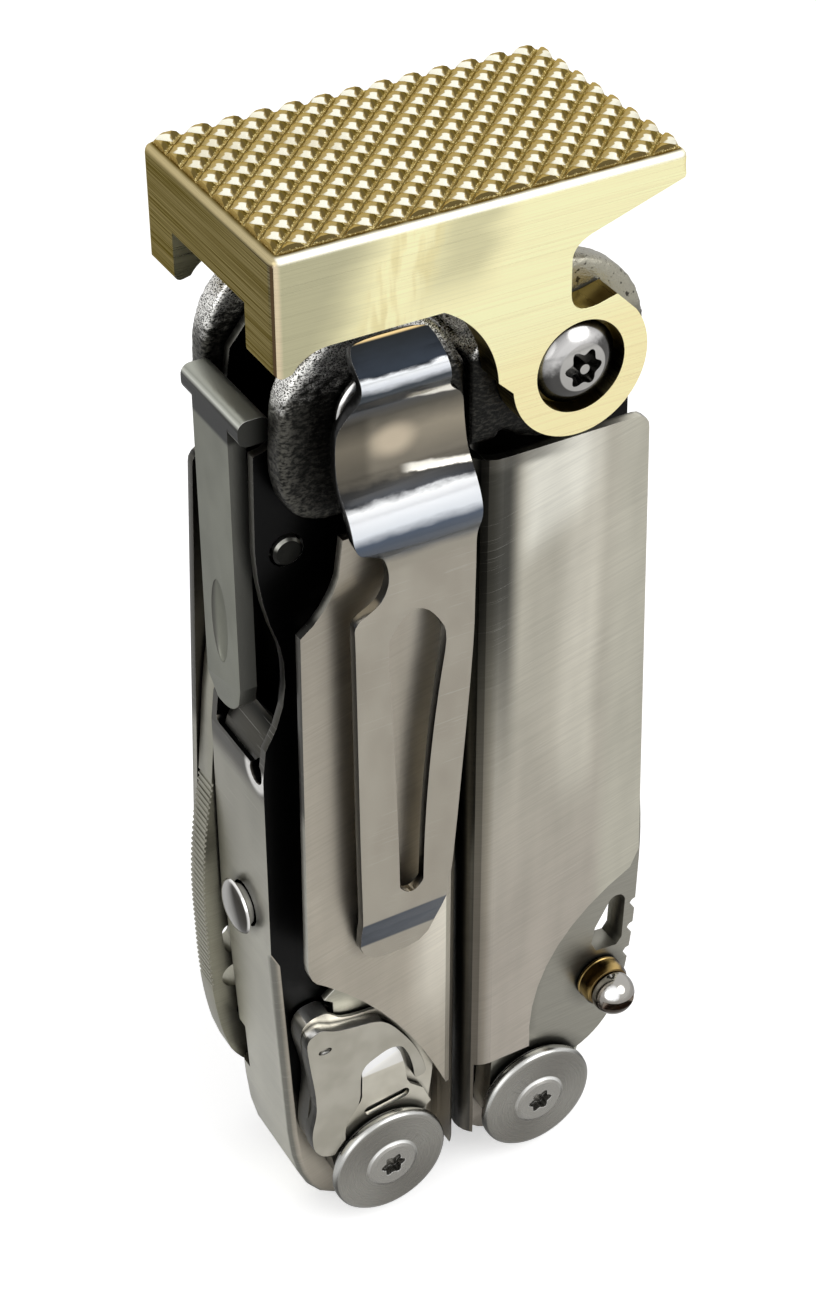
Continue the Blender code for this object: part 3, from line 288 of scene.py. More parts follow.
def settled(piece):
    """Turn what an object's modifiers make into its plain mesh."""
    bpy.context.view_layer.update()
    graph = bpy.context.evaluated_depsgraph_get()
    mesh = bpy.data.meshes.new_from_object(piece.evaluated_get(graph))
    piece.modifiers.clear()
    piece.data = mesh
    mesh.name = piece.name
    return piece


def smooth(mesh, angle=35, flats=True):
    """Shade curved faces smooth and large plane ones flat."""
    mesh.shade_smooth()
    mesh.set_sharp_from_angle(angle=math.radians(angle))
    for face in mesh.polygons:
        plane = len(face.vertices) > 4 and face.area > 1.5 * MM * MM
        if flats and (plane or abs(face.normal.y) > 0.99999):
            face.use_smooth = False


def edged(piece, width, angle=38, segments=2, shading=35):
    """Break the sharp edges of a piece, and note which faces came of that."""
    while len(piece.data.materials) < 2:
        piece.data.materials.append(None)
    break_edges = piece.modifiers.new("edge_break", "BEVEL")
    break_edges.width = width * MM
    break_edges.segments = segments
    break_edges.limit_method = "ANGLE"
    break_edges.angle_limit = math.radians(angle)
    break_edges.use_clamp_overlap = True
    break_edges.material = 1
    settled(piece)
    marks = piece.data.attributes.new("edge", "FLOAT", "FACE")
    marks.data.foreach_set("value", [float(face.material_index) for face in piece.data.polygons])
    for face in piece.data.polygons:
        face.material_index = 0
    smooth(piece.data, shading)
    return piece


def made(name, work):
    """The object of a worked mesh."""
    mesh = bpy.data.meshes.new(name)
    work.to_mesh(mesh)
    work.free()
    return show(name, mesh)


@contextmanager
def reworked(mesh):
    """A mesh opened to work on, and written back."""
    work = bmesh.new()
    work.from_mesh(mesh)
    yield work
    work.to_mesh(mesh)
    work.free()


def mounted(piece, node, finish):
    """Hand a finished piece its material, its body and the CAD node it stands for."""
    piece.data.materials.clear()
    piece.data.materials.append(finish.material)
    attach(piece, frame["nodes"][node]["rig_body"])
    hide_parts(node)


def arc(centre, radius, start, end, count):
    """Points on an arc, both ends included, angles in degrees."""
    angles = [math.radians(start + (end - start) * step / count) for step in range(count + 1)]
    return [(centre[0] + radius * math.cos(a), centre[1] + radius * math.sin(a)) for a in angles]


def bow(start, control, end, count):
    """Points on a quadratic curve, both ends included."""
    points = []
    for step in range(count + 1):
        t = step / count
        a, b, c = (1 - t) ** 2, 2 * t * (1 - t), t * t
        points.append((a * start[0] + b * control[0] + c * end[0],
                       a * start[1] + b * control[1] + c * end[1]))
    return points


def sheet(name, loops, low=0.0, high=0.0):
    """A flat outline with holes, upright and facing the front, as thick as from low to high."""
    curve = bpy.data.curves.new(name, "CURVE")
    curve.dimensions = "2D"
    curve.fill_mode = "BOTH"
    curve.extrude = abs(high - low) / 2 * MM
    for loop in loops:
        spline = curve.splines.new("POLY")
        spline.points.add(len(loop) - 1)
        for point, (u, v) in zip(spline.points, loop):
            point.co = (u * MM, v * MM, 0, 1)
        spline.use_cyclic_u = True
    drawn = show(name, curve)
    graph = bpy.context.evaluated_depsgraph_get()
    mesh = bpy.data.meshes.new_from_object(drawn.evaluated_get(graph))
    bpy.data.objects.remove(drawn, do_unlink=True)
    mesh.transform(Matrix(((1, 0, 0, 0), (0, 0, -1, (low + high) / 2 * MM), (0, 1, 0, 0),
                           (0, 0, 0, 1))))
    work = bmesh.new()
    work.from_mesh(mesh)
    bmesh.ops.remove_doubles(work, verts=work.verts, dist=1e-6)
    bmesh.ops.dissolve_limit(work, angle_limit=1e-4, verts=work.verts, edges=work.edges)
    return work


def rounded(work, width, segments, test):
    """Round the sharp edges of a worked mesh whose two ends pass a test, in millimetres."""
    chosen = [item for item in work.edges if len(item.link_faces) == 2
              and item.calc_face_angle() > math.radians(30)
              and all(test(corner.co / MM) for corner in item.verts)]
    bmesh.ops.bevel(work, geom=chosen, offset=width * MM, segments=segments, profile=0.5,
                    affect="EDGES", clamp_overlap=True)
    return work


def turning(name, profile, centre, axis, direction, steps=72):
    """A profile of (radius, height) turned about an axis through a centre."""
    mesh = bpy.data.meshes.new(name)
    mesh.from_pydata([(radius * MM, 0, height * MM) for radius, height in profile],
                     [(i, i + 1) for i in range(len(profile) - 1)], [])
    piece = show(name, mesh)
    lathe = piece.modifiers.new("lathe", "SCREW")
    lathe.steps = lathe.render_steps = steps
    lathe.use_merge_vertices = True
    lathe.merge_threshold = 1e-6
    settled(piece)
    turn = (Matrix.Rotation(math.radians(90) * direction, 4, "Y") if axis == "X"
            else Matrix.Rotation(math.radians(-90) * direction, 4, "X"))
    piece.data.transform(Matrix.Translation(Vector(centre) * MM) @ turn)
    with reworked(piece.data) as work:
        bmesh.ops.remove_doubles(work, verts=work.verts, dist=1e-6)
        bmesh.ops.recalc_face_normals(work, faces=work.faces)
    return piece


def sliced(work, point, normal, dist=1e-7, **more):
    """Cut a worked mesh through by a plane at a point in millimetres."""
    return bmesh.ops.bisect_plane(work, geom=[*work.verts, *work.edges, *work.faces], dist=dist,
                                  plane_co=Vector(point) * MM, plane_no=normal, **more)


def carve(piece, *tools, operation="DIFFERENCE"):
    """Cut solids out of a piece, or weld them to it."""
    for tool in tools:
        step = piece.modifiers.new("cut", "BOOLEAN")
        step.operation = operation
        step.solver = "EXACT"
        step.object = tool
    settled(piece)
    for tool in tools:
        bpy.data.objects.remove(tool, do_unlink=True)


HAMMER_TOP = 125.2
BLOCK_TOP = 124.54
BLOCK_HALF = 12.6
KNURL_MIDDLE = -0.3
KNURL_HALF = (20.0, 11.9)
KNURL_PITCH = (40.0 / 13, 23.8 / 8)
PIVOT = (9.8, 105.5)

brass = Finish("brushed_brass")
brass.shader.inputs["Specular Tint"].default_value = (0.95, 0.80, 0.45, 1)
x, y, z, nx, ny, nz = brass.axes()
streaks = brass.grain((26, 26, 0.11), 4)
clouds = brass.grain((9, 9, 3.0), 2)
ripples = brass.grain((1.3, 9, 7), 2)
# Painted reflection: the front is painted dark on the left and pale gold on the right.
spread = x + (clouds - 0.5) * 4 - (z - 119) * 0.3
brass.tone = brass.mix(spread.band(-17, -10), (0.50, 0.475, 0.305), (1.0, 0.935, 0.56))
# A darker painted reflection high in the middle of the front.
front_dark_reflection = spread.band(-8.5, -3.5) * spread.band(2.5, -2.0) * z.band(114.5, 120)
brass.over(front_dark_reflection * 0.75, (0.58, 0.55, 0.34))
# Rippled golden patches of painted reflection on the left of the front.
brass.over(spread.band(-13, -10) * spread.band(-4, -7) * ripples.band(0.42, 0.60) * 0.65,
           (0.80, 0.70, 0.36))
# Painted light: the lower front by the lugs is painted brighter.
brass.over((z - x * 0.2).band(111, 105), (1.0, 0.88, 0.50))
# Painted reflection: the left end faces are painted dark brown, streaked along the brushing.
end_face_reflection_streaks = brass.mix(streaks.band(0.35, 0.66), (0.040, 0.033, 0.017), (0.25, 0.222, 0.135))
brass.over((-nx).band(0.75, 0.95), end_face_reflection_streaks)
# Painted highlight on the front-left corner's rounding, with a dark painted reflection beside it.
corner = (-nx).band(0.15, 0.45) * (-ny).band(0.15, 0.5)
brass.over(corner, brass.mix((-ny).band(0.55, 0.85), (0.10, 0.065, 0.035), (0.74, 0.62, 0.42)))
# Painted shade on the faces that look down.
brass.over((-nz).band(0.3, 0.9), (0.13, 0.09, 0.03))
# Painted highlight along the rounded top edge, duller where it turns to the left end.
lip = nz.band(0.15, 0.4) * z.band(BLOCK_TOP - 1.1, BLOCK_TOP - 0.9)
brass.over(lip, brass.mix((-nx).band(0.2, 0.5), (1.0, 0.96, 0.80), (0.50, 0.42, 0.24)))
# A dark painted reflection on the flat top rim.
brass.over(nz.band(0.80, 0.95), (0.20, 0.155, 0.06))
# Bright broken edges: partly polished wear, partly painted highlight.
brass.over(brass.edge() * 0.75, (1.0, 0.93, 0.62))
brass.shade(streaks.band(0.2, 0.62) * 0.16 + 0.89)
# Painted shade in the recesses and between the lugs.
brass.shade(brass.hollow(2.0) ** 0.9)
brass.close(streaks * 0.2 + 0.2, streaks, 0.006)

block_loop = [(-21.0, BLOCK_TOP), (-21.0, 112.9)]
block_loop += bow((-19.4, 113.3), (-18.4, 114.9), (-16, 115.1), 8)
block_loop += arc((-PIVOT[0], PIVOT[1]), 10.9, 61.7, 4, 24) + arc(PIVOT, 7.2, 186, 397, 56)
block_loop += [(13.4, 112.0)] + bow((12.4, 111.75), (8.6, 110.6), (8.45, 113.2), 8)
block_loop += bow((8.4, 116.6), (8.4, 118.3), (10.9, 119.0), 8) + [(20.0, 121.9), (20.4, 123.0),
                                                                   (20.4, BLOCK_TOP)]
body_work = sheet("hammer_head", [block_loop], -BLOCK_HALF, BLOCK_HALF)
body_work = rounded(body_work, 0.85, 4, lambda point: (
    point.z > BLOCK_TOP - 0.01 or abs(abs(point.y) - BLOCK_HALF) < 0.01 and abs(point.x) > 20.3))
body_work = rounded(body_work, 0.4, 3, lambda point: abs(abs(point.y) - BLOCK_HALF) < 0.01)
block = made("hammer_head_piece", body_work)


def upright(name, left, right, low, high, half):
    """A plain block from left to right and from low to high, as deep as half a side."""
    loop = [(left, low), (right, low), (right, high), (left, high)]
    return made(name, sheet(name, [loop], -half, half))


pivot_place = (PIVOT[0], 0, PIVOT[1])
seat = [(0, 14), (4.7, 14), (4.7, 10.4), (0, 10.4)]
carve(block, upright("cheek_room", -12.8, 31.0, 80.0, 115.1, 9.5),
      upright("handle_room", -26.0, 6.8, 80.0, 118.0, 7.1),
      turning("pivot_hole", [(0, 14), (2.6, 14), (2.6, -14), (0, -14)], pivot_place, "Y", 1, 48),
      *[turning("seat", seat, pivot_place, "Y", face, 64) for face in (-1, 1)])
mounted(edged(block, 0.13, 50), "hammer_head", brass)

tooth_work = bmesh.new()
rings = []
for share, swell, rise in ((1.0, 0.0, 0.0), (0.86, 0.0, 0.08), (0.58, 0.08, 0.74),
                           (0.26, 0.16, 1.0)):
    reaches = [share * (0.7071 + swell if step % 2 else 1) for step in range(8)]
    rings.append([tooth_work.verts.new((reach * math.cos(math.radians(45 * step)),
                                        reach * math.sin(math.radians(45 * step)), rise))
                  for step, reach in enumerate(reaches)])
tooth_work.faces.new(rings[-1])
tooth_work.faces.new(rings[0][::-1])
for below, above in zip(rings, rings[1:]):
    for index in range(8):
        tooth_work.faces.new((below[index - 1], below[index], above[index], above[index - 1]))
tooth = made("knurl_tooth", tooth_work)

knurl_brass = Finish("knurled_brass")
knurl_brass.shader.inputs["Specular Tint"].default_value = (0.95, 0.80, 0.45, 1)
x, y, z, nx, ny, nz = knurl_brass.axes()
dots = knurl_brass.grain((0.16, 0.16, 0.16), 2)
moon_jitter = knurl_brass.grain((1.6, 1.6, 1.6), 2)
moon_fade = knurl_brass.grain((14, 14, 14), 1)
# Painted shade: tooth flanks that face right are painted dark brown.
knurl_brass.tone = knurl_brass.mix((nx - ny * 0.3).band(0.0, 0.35), (0.46, 0.345, 0.135),
                                   (0.13, 0.095, 0.035))
knurl_brass.over(ny.band(0.1, 0.4), (0.42, 0.31, 0.12))
knurl_brass.over(nz.band(0.955, 0.99), (0.44, 0.335, 0.14))
knurl_brass.over(z.band(HAMMER_TOP - 0.46, HAMMER_TOP - 0.56), (0.40, 0.29, 0.105))
# Painted glints: fine golden sparks low in the grooves.
knurl_brass.over(dots.band(0.55, 0.62) * z.band(HAMMER_TOP - 0.36, HAMMER_TOP - 0.5),
                 (1.0, 0.86, 0.42))
# Painted highlight: a pale crescent on the near flank of each tooth, varied by noise.
moon_highlight = (-nx * 0.51 - ny * 0.86 + (moon_jitter - 0.5) * 0.22).band(0.29, 0.37)
moon_highlight = moon_highlight * abs(nx * 0.86 - ny * 0.51 + (moon_fade - 0.5) * 0.1).band(0.30, 0.20)
moon_highlight = moon_highlight * z.band(HAMMER_TOP - 0.54, HAMMER_TOP - 0.47)
knurl_brass.over(moon_highlight * (moon_fade.band(0.25, 0.45) * 0.3 + 0.7), (1.0, 0.975, 0.82))
# Painted shade deep in the grooves.
knurl_brass.shade(knurl_brass.hollow(0.5) ** 0.7)
knurl_brass.close(0.24 + dots * 0.2, dots, 0.012)


def tree_of(name, inputs, result):
    """A Geometry Nodes tree with these named inputs, and its input sockets by their names."""
    tree = bpy.data.node_groups.new(name, "GeometryNodeTree")
    for label, kind in inputs.items():
        tree.interface.new_socket(label, in_out="INPUT", socket_type="NodeSocket" + kind)
    tree.interface.new_socket(result, in_out="OUTPUT", socket_type="NodeSocketGeometry")
    return tree, {socket.name: socket for socket in wired(tree, "NodeGroupInput").outputs}


def ended(tree, geometry, material):
    """End a tree with Realize Instances and Set Material."""
    real = wired(tree, "GeometryNodeRealizeInstances", {}, {0: geometry})
    coated = wired(tree, "GeometryNodeSetMaterial", {},
                   {"Geometry": real.outputs[0], "Material": material})
    wired(tree, "NodeGroupOutput", {}, {0: coated.outputs[0]})


def reckoned(tree, operation, *values):
    """What a Math node makes of its values."""
    sockets = dict(enumerate(values))
    return wired(tree, "ShaderNodeMath", {"operation": operation}, sockets).outputs[0]


def worked(tree, values, name):
    """What a tree makes from its named inputs, as a plain mesh object."""
    piece = show(name, bpy.data.meshes.new(name))
    step = piece.modifiers.new("tree", "NODES")
    step.node_group = tree
    for item in tree.interface.items_tree:
        if item.in_out == "INPUT" and item.name in values:
            step[item.identifier] = values[item.name]
    return settled(piece)


knurl_tree, told = tree_of("knurling", {
    "Tooth": "Object", "Columns": "Int", "Rows": "Int", "Pitch Along": "Float",
    "Pitch Across": "Float", "Depth": "Float", "Middle": "Vector", "Brass": "Material"}, "Knurling")
pitches = (told["Pitch Along"], told["Pitch Across"])
counts = (told["Columns"], told["Rows"])
sizes = [reckoned(knurl_tree, "MULTIPLY", *pair) for pair in zip(counts, pitches)]
posts = [reckoned(knurl_tree, "ADD", count, 1.0) for count in counts]
halves = [reckoned(knurl_tree, "MULTIPLY", pitch, 0.5) for pitch in pitches]
lattice = wired(knurl_tree, "GeometryNodeMeshGrid", {}, {
    "Size X": sizes[0], "Size Y": sizes[1], "Vertices X": posts[0], "Vertices Y": posts[1]})
half_step = wired(knurl_tree, "ShaderNodeCombineXYZ", {}, {0: halves[0], 1: halves[1]})
between = wired(knurl_tree, "GeometryNodeTransform", {}, {
    "Geometry": lattice.outputs["Mesh"], "Translation": half_step.outputs[0]})
both = wired(knurl_tree, "GeometryNodeJoinGeometry", {}, {0: lattice.outputs["Mesh"]})
knurl_tree.links.new(between.outputs[0], both.inputs[0])
shape = wired(knurl_tree, "GeometryNodeObjectInfo", {}, {"Object": told["Tooth"]})
stretch = wired(knurl_tree, "ShaderNodeCombineXYZ", {}, {
    0: halves[0], 1: halves[1], 2: told["Depth"]})
set_out = wired(knurl_tree, "GeometryNodeInstanceOnPoints", {}, {
    "Points": both.outputs[0], "Instance": shape.outputs["Geometry"], "Scale": stretch.outputs[0]})
placed = wired(knurl_tree, "GeometryNodeTransform", {}, {
    "Geometry": set_out.outputs[0], "Translation": told["Middle"]})
ended(knurl_tree, placed.outputs[0], told["Brass"])

knurling = worked(knurl_tree, {
    "Tooth": tooth, "Columns": 14, "Rows": 10, "Pitch Along": KNURL_PITCH[0] * MM,
    "Pitch Across": KNURL_PITCH[1] * MM, "Depth": (HAMMER_TOP - BLOCK_TOP + 0.02) * MM,
    "Middle": (KNURL_MIDDLE * MM, 0.0, (BLOCK_TOP - 0.02) * MM), "Brass": knurl_brass.material},
    "hammer_knurling")
bpy.data.objects.remove(tooth, do_unlink=True)
with reworked(knurling.data) as trim:
    for outward in ((-1, 0, 0), (1, 0, 0), (0, -1, 0), (0, 1, 0)):
        point = (KNURL_MIDDLE + outward[0] * KNURL_HALF[0], outward[1] * KNURL_HALF[1], 0)
        opened = sliced(trim, point, outward, 0.0, clear_outer=True)["geom_cut"]
        rim = [item for item in opened if isinstance(item, bmesh.types.BMEdge)]
        bmesh.ops.holes_fill(trim, edges=rim)
smooth(knurling.data, 62)
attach(knurling, "hammer")
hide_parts("hammer_head")


# ---------------------------------------------------------------- plier arms
# Two forged steel arms in black oxide. Their cheeks keep the wrinkled skin of the casting, and
# the necks and jaws, folded away between the handles, are the same steel.
SKIN_VOXEL = 0.3
WRINKLE_SIZE = (1.0, 1.0, 0.42)
WRINKLE_HEIGHT = 0.22


def copied(node):
    """The joined surface of a CAD node, to work on."""
    work = bmesh.new()
    work.from_mesh(frame["nodes"][node].data)
    bmesh.ops.remove_doubles(work, verts=work.verts, dist=0.015 * MM)
    bmesh.ops.dissolve_limit(work, angle_limit=math.radians(0.6), verts=work.verts,
                             edges=work.edges)
    bmesh.ops.recalc_face_normals(work, faces=work.faces)
    return work


skin_tree, told = tree_of("cast_skin", {"Arm": "Object", "Wrinkle Size": "Vector",
                                        "Wrinkle Height": "Float", "Steel": "Material"}, "Skin")
plain_arm = wired(skin_tree, "GeometryNodeObjectInfo", {}, {"Object": told["Arm"]})
spread = wired(skin_tree, "ShaderNodeVectorMath", {"operation": "DIVIDE"}, {
    0: wired(skin_tree, "GeometryNodeInputPosition").outputs[0], 1: told["Wrinkle Size"]})
wrinkle = wired(skin_tree, "ShaderNodeTexNoise", {"noise_dimensions": "4D"}, {
    "Vector": spread.outputs[0], "W": 3.0, "Scale": 1.0, "Detail": 2.0, "Distortion": 0.6})
lift = reckoned(skin_tree, "MULTIPLY", reckoned(skin_tree, "SUBTRACT", wrinkle.outputs[0], 0.6),
                told["Wrinkle Height"])
push = wired(skin_tree, "ShaderNodeVectorMath", {"operation": "SCALE"}, {
    0: wired(skin_tree, "GeometryNodeInputNormal").outputs[0], "Scale": lift})
moved = wired(skin_tree, "GeometryNodeSetPosition", {}, {
    "Geometry": plain_arm.outputs["Geometry"], "Offset": push.outputs[0]})
ended(skin_tree, moved.outputs[0], told["Steel"])

cast = Finish("black_cast_steel", 0.85)
skin = cast.grain((0.5, 0.5, 0.26), 3)
fine = cast.grain((0.17, 0.17, 0.12), 2)
pits = cast.grain((0.5, 0.5, 0.5), 1)
x, y, z, nx, ny, nz = cast.axes()
cast.tone = cast.mix(skin.band(0.45, 0.72), (0.007, 0.007, 0.006), (0.045, 0.043, 0.037))
# Painted sheen: a soft grey on the sides that face left.
sheen_facing = -nx - ny * 0.25 + (-PIVOT[0] - x) * 0.045
cast.over(sheen_facing.band(0.35, 0.95) * skin.band(0.35, 0.62), (0.085, 0.082, 0.07))
# Painted shade in recesses and between the pieces.
cast.shade(cast.hollow(3.0) ** 0.6)
# Painted glints: white sparks on the faces that look up.
glint_facing = nz + (z - PIVOT[1]) * 0.07 + (skin - 0.5) * 0.5
cast.over(glint_facing.band(0.15, 0.65) * fine.band(0.42, 0.52), (1.0, 0.99, 0.95))
grey = cast.mix(pits.band(0.27, 0.34), (0.05, 0.045, 0.035), (0.34, 0.325, 0.265))
cast.over(x.band(8.0, 10.5) * z.band(106, 109), grey)
cast.close(0.18 + fine * 0.25, skin * 0.6 + fine * 0.4, 0.09)

for side in ("left", "right"):
    node = "plier_arm_" + side
    smooth_arm = made(node + "_smooth", copied(node))
    remesh = smooth_arm.modifiers.new("voxels", "REMESH")
    remesh.mode = "VOXEL"
    remesh.voxel_size = SKIN_VOXEL * MM
    soften = smooth_arm.modifiers.new("soften", "SMOOTH")
    soften.factor = 0.5
    soften.iterations = 26
    settled(smooth_arm)
    arm = worked(skin_tree, {
        "Arm": smooth_arm, "Wrinkle Size": tuple(size * MM for size in WRINKLE_SIZE),
        "Wrinkle Height": WRINKLE_HEIGHT * MM, "Steel": cast.material}, node + "_piece")
    bpy.data.objects.remove(smooth_arm, do_unlink=True)
    arm.data.shade_smooth()
    mounted(arm, node, cast)


# ---------------------------------------------------------------- handles
# Each handle is one pressing of stainless sheet: a channel, a fold on either side of the
# centre and two outer walls. The outer walls are ground satin, and the channel's inside
# is painted near black as shade.
steel = Finish("ground_stainless")
x, y, z, nx, ny, nz = steel.axes()
outward = nx * x.sum("SIGN", x)
across, beside_y = abs(x), abs(y)
tilted = steel.add("ShaderNodeMapping", None, {"Vector": steel.place, "Rotation": (0, 0.25, 0)})
brushed = steel.grain((7.0, 7.0, 0.15), 4, tilted)
patches = steel.grain((5, 8, 22), 2)
marks = steel.grain((9.0, 9.0, 0.05), 1, tilted)
steel.tone = steel.mix(z.band(25, 75), (0.455, 0.415, 0.360), (0.500, 0.475, 0.400))
# Painted sheen: a lighter patch in the middle of the outer walls.
steel.over(across.band(9, 12) * across.band(15.5, 13.5) * z.band(48, 58), (0.640, 0.610, 0.520))
steel.over(across.band(15, 17.5), (0.520, 0.500, 0.420))
# A dark painted reflection along the centre fold, halfway up.
steel.over(across.band(5.8, 3.8) * z.band(48, 84) * 0.93, (0.040, 0.040, 0.036))
glare = (z - across * 0.6).band(78.0, 84.0) * across.band(4.5, 7.0) * across.band(15.5, 11)
steel.over(glare * 0.75, (0.90, 0.885, 0.79))
# Painted shade in a band just below the top edge, under the hammer.
steel.over(z.band(94.6, 95.6) * across.band(12.5, 6.5) * 0.7, (0.13, 0.125, 0.11))
# Painted light and shade on the left handle: lighter near the centre, painted shade towards the
# top.
left_wall_light_and_shade = steel.mix(across.band(8, 4) * z.band(22, 36), (0.450, 0.411, 0.343),
                      (0.760, 0.715, 0.615))
steel.over(x.band(1, -1), steel.times(left_wall_light_and_shade, z.band(95, 60) * 0.2 + 0.8))
# Painted light and shade on the webs' outer faces: lighter towards the bottom.
web_light_and_shade = steel.mix(z.band(70, 20), (0.31, 0.30, 0.255), (0.60, 0.59, 0.52))
# Painted shade where the web rounds into the walls.
web_light_and_shade = steel.mix(beside_y.band(3.2, 4.6) * outward.band(0.99, 0.9), web_light_and_shade,
                     (0.20, 0.195, 0.17))
# A dark painted reflection on the lip at the top of the web.
lip = z.band(60.0, 63.0) * x.band(-16, -17)
web_light_and_shade = steel.mix(lip, web_light_and_shade, steel.mix(outward.band(0.9, 0.7), (0.075, 0.072, 0.062),
                                              (0.020, 0.020, 0.018)))
# A painted highlight round the bottom of the notch in the lip.
notch_highlight_reach = ((y + 4.1) ** 2.0 + (z - 64.0) ** 2.0) ** 0.5
web_light_and_shade = steel.mix(notch_highlight_reach.band(2.7, 1.9) * z.band(65.0, 64.0), web_light_and_shade, (0.90, 0.89, 0.86))
steel.over(outward.band(0.3, 0.7) * across.band(13, 15), web_light_and_shade)
steel.shade(patches.band(0.25, 0.75) * 0.16 + 0.92)
steel.shade(brushed.band(0.25, 0.7) * 0.13 + 0.93)
steel.over(marks.band(0.70, 0.74) * 0.35, (0.80, 0.79, 0.74))
# Painted reflections: light and dark bands across the rounded centre folds.
fold = across.band(4.0, 3.2) * beside_y.band(5.9, 6.3) * (-outward)
steel.shade(steel.add("ShaderNodeValToRGB", None, {0: fold}, stops=(
    (0.05, (1, 1, 1)), (0.13, (1, 1, 1)), (0.30, (0.66, 0.65, 0.62)),
    (0.52, (0.40, 0.39, 0.37)), (0.74, (0.12, 0.12, 0.11)), (0.86, (0.34, 0.34, 0.32)),
    (1.0, (0.10, 0.10, 0.10)))))
# Bright sheet edges: partly wear, partly painted highlight.
steel.over(steel.edge() * 0.7, (0.86, 0.86, 0.83))
# Painted shade: the channel's inside is painted near black, its edges a little lighter.
open_side = (beside_y.band(9.2, 9.9) + outward.band(0.1, 0.4) * across.band(12, 14)
             + z.band(20, 15) + across.band(4.4, 3.8) * beside_y.band(5.6, 6.0))
channel_shade = steel.mix(steel.edge() * 0.8, (0.010, 0.010, 0.010), (0.34, 0.34, 0.31))
steel.tone = steel.mix(open_side, channel_shade, steel.tone)
# Painted shade in recesses.
steel.shade(steel.hollow(1.5) ** 0.7)
steel.close(0.25 + brushed * 0.15, brushed, 0.004)


def dressed(node, width, finish, angle=38):
    """A finer copy of a CAD node, which stands for it and rides on its body."""
    mounted(edged(made(node + "_piece", copied(node)), width, angle), node, finish)


for side in ("left", "right"):
    dressed("handle_" + side, 0.16, steel, 45)


# ---------------------------------------------------------------- pocket clip
# A strip of polished spring steel with two ribs pressed across its head, a notch below them
# and a long teardrop slot. Its foot bends in to the left handle's outer wall.
CLIP_FACE = -11.7
CLIP_SHEET = 1.0


def eased(loop, times=2):
    """A closed outline with its corners cut again and again, until they are round."""
    for _ in range(times):
        cut = []
        for a, b in zip(loop, loop[1:] + loop[:1]):
            cut += [(a[0] * 0.8 + b[0] * 0.2, a[1] * 0.8 + b[1] * 0.2),
                    (a[0] * 0.2 + b[0] * 0.8, a[1] * 0.2 + b[1] * 0.8)]
        loop = cut
    return loop


def mirrored(loop, side):
    """An outline as drawn on the right, or with -1 turned over to the left."""
    return [(side * x, z) for x, z in loop]


clip_side = [(CLIP_FACE, 39.0), (CLIP_FACE, 43.2), (CLIP_FACE - 1.4, 47.8),
             (CLIP_FACE - 1.5, 51.0), (CLIP_FACE - 1.4, 85.0), (CLIP_FACE - 1.5, 90.6)]
clip_side += bow((CLIP_FACE - 1.8, 92.0), (CLIP_FACE - 4.5, 96.0), (CLIP_FACE - 1.7, 100.0), 12)
clip_side += bow((CLIP_FACE - 1.2, 101.2), (CLIP_FACE - 0.7, 104.6), (CLIP_FACE - 1.2, 107.6), 8)
clip_side += bow((CLIP_FACE - 1.7, 108.5), (CLIP_FACE - 4.3, 111.2), (CLIP_FACE - 1.2, 113.4), 12)
clip_side += [(CLIP_FACE - 0.3, 114.7)]


def clip_depth(height):
    """Where the clip's outer face lies at a height, eased over half a millimetre."""
    total = 0.0
    for step in range(-4, 5):
        level = min(max(height + step * 0.16, 39.0), 114.6)
        for (y0, z0), (y1, z1) in zip(clip_side, clip_side[1:]):
            if z0 <= level <= z1:
                total += y0 + (y1 - y0) * (level - z0) / (z1 - z0)
                break
    return total / 9


front = [(5.4, 41.0), (3.8, 48.0), (1.4, 78.0), (1.3, 87.5), (1.4, 93.5), (2.1, 98.0),
         (2.5, 104.0), (2.7, 106.6), (4.3, 107.9), (5.0, 110.5), (5.6, 113.4), (6.3, 114.5),
         (13.4, 114.5), (14.1, 113.5), (13.8, 110.7), (14.1, 108.1)]
front += bow((15.4, 106.2), (15.8, 103.0), (15.4, 99.0), 4)
front += bow((15.2, 97.0), (15.0, 93.6), (13.2, 93.3), 4)
front += bow((11.4, 92.2), (9.6, 89.0), (11.6, 86.6), 5)
front += [(14.2, 85.2), (14.1, 83.0), (13.9, 48.0), (13.1, 41.0)]
tear = bow((9.6, 51.6), (9.7, 60.0), (10.6, 80.0), 6)
tear += bow((10.6, 82.0), (7.6, 88.0), (4.5, 81.5), 10)
tear += bow((4.4, 79.8), (6.7, 66.0), (6.9, 51.6), 6)
tear += bow((6.9, 51.0), (8.2, 48.9), (9.6, 51.0), 5)
strip = sheet("pocket_clip_piece", [mirrored(eased(front), -1), mirrored(eased(tear, 1), -1)])
levels = [41.5 + 0.4 * step for step in range(20)] + [52 + 3 * step for step in range(13)]
levels += [90.2 + 0.3 * step for step in range(81)]
for level in levels:
    sliced(strip, (0, 0, level), (0, 0, 1))
for corner in strip.verts:
    corner.co.y = clip_depth(corner.co.z / MM) * MM
for face in strip.faces:
    face.normal_update()
    if face.normal.y > 0:
        face.normal_flip()
clip = made("pocket_clip_piece", strip)
thickness = clip.modifiers.new("sheet", "SOLIDIFY")
thickness.thickness = CLIP_SHEET * MM
thickness.offset = -1
thickness.use_even_offset = True
settled(clip)
edged(clip, 0.2, 50, 3)
smooth(clip.data, 30, False)

chrome = Finish("polished_spring_steel")
x, y, z, nx, ny, nz = chrome.axes()
brushed = chrome.grain((0.25, 5, 5), 3)
ripple = chrome.grain((3.0, 2.0, 1.2), 3)
strip_tone = chrome.mix(chrome.grain((5, 5, 9), 2).band(0.3, 0.7), (0.375, 0.342, 0.285),
                        (0.430, 0.398, 0.335))
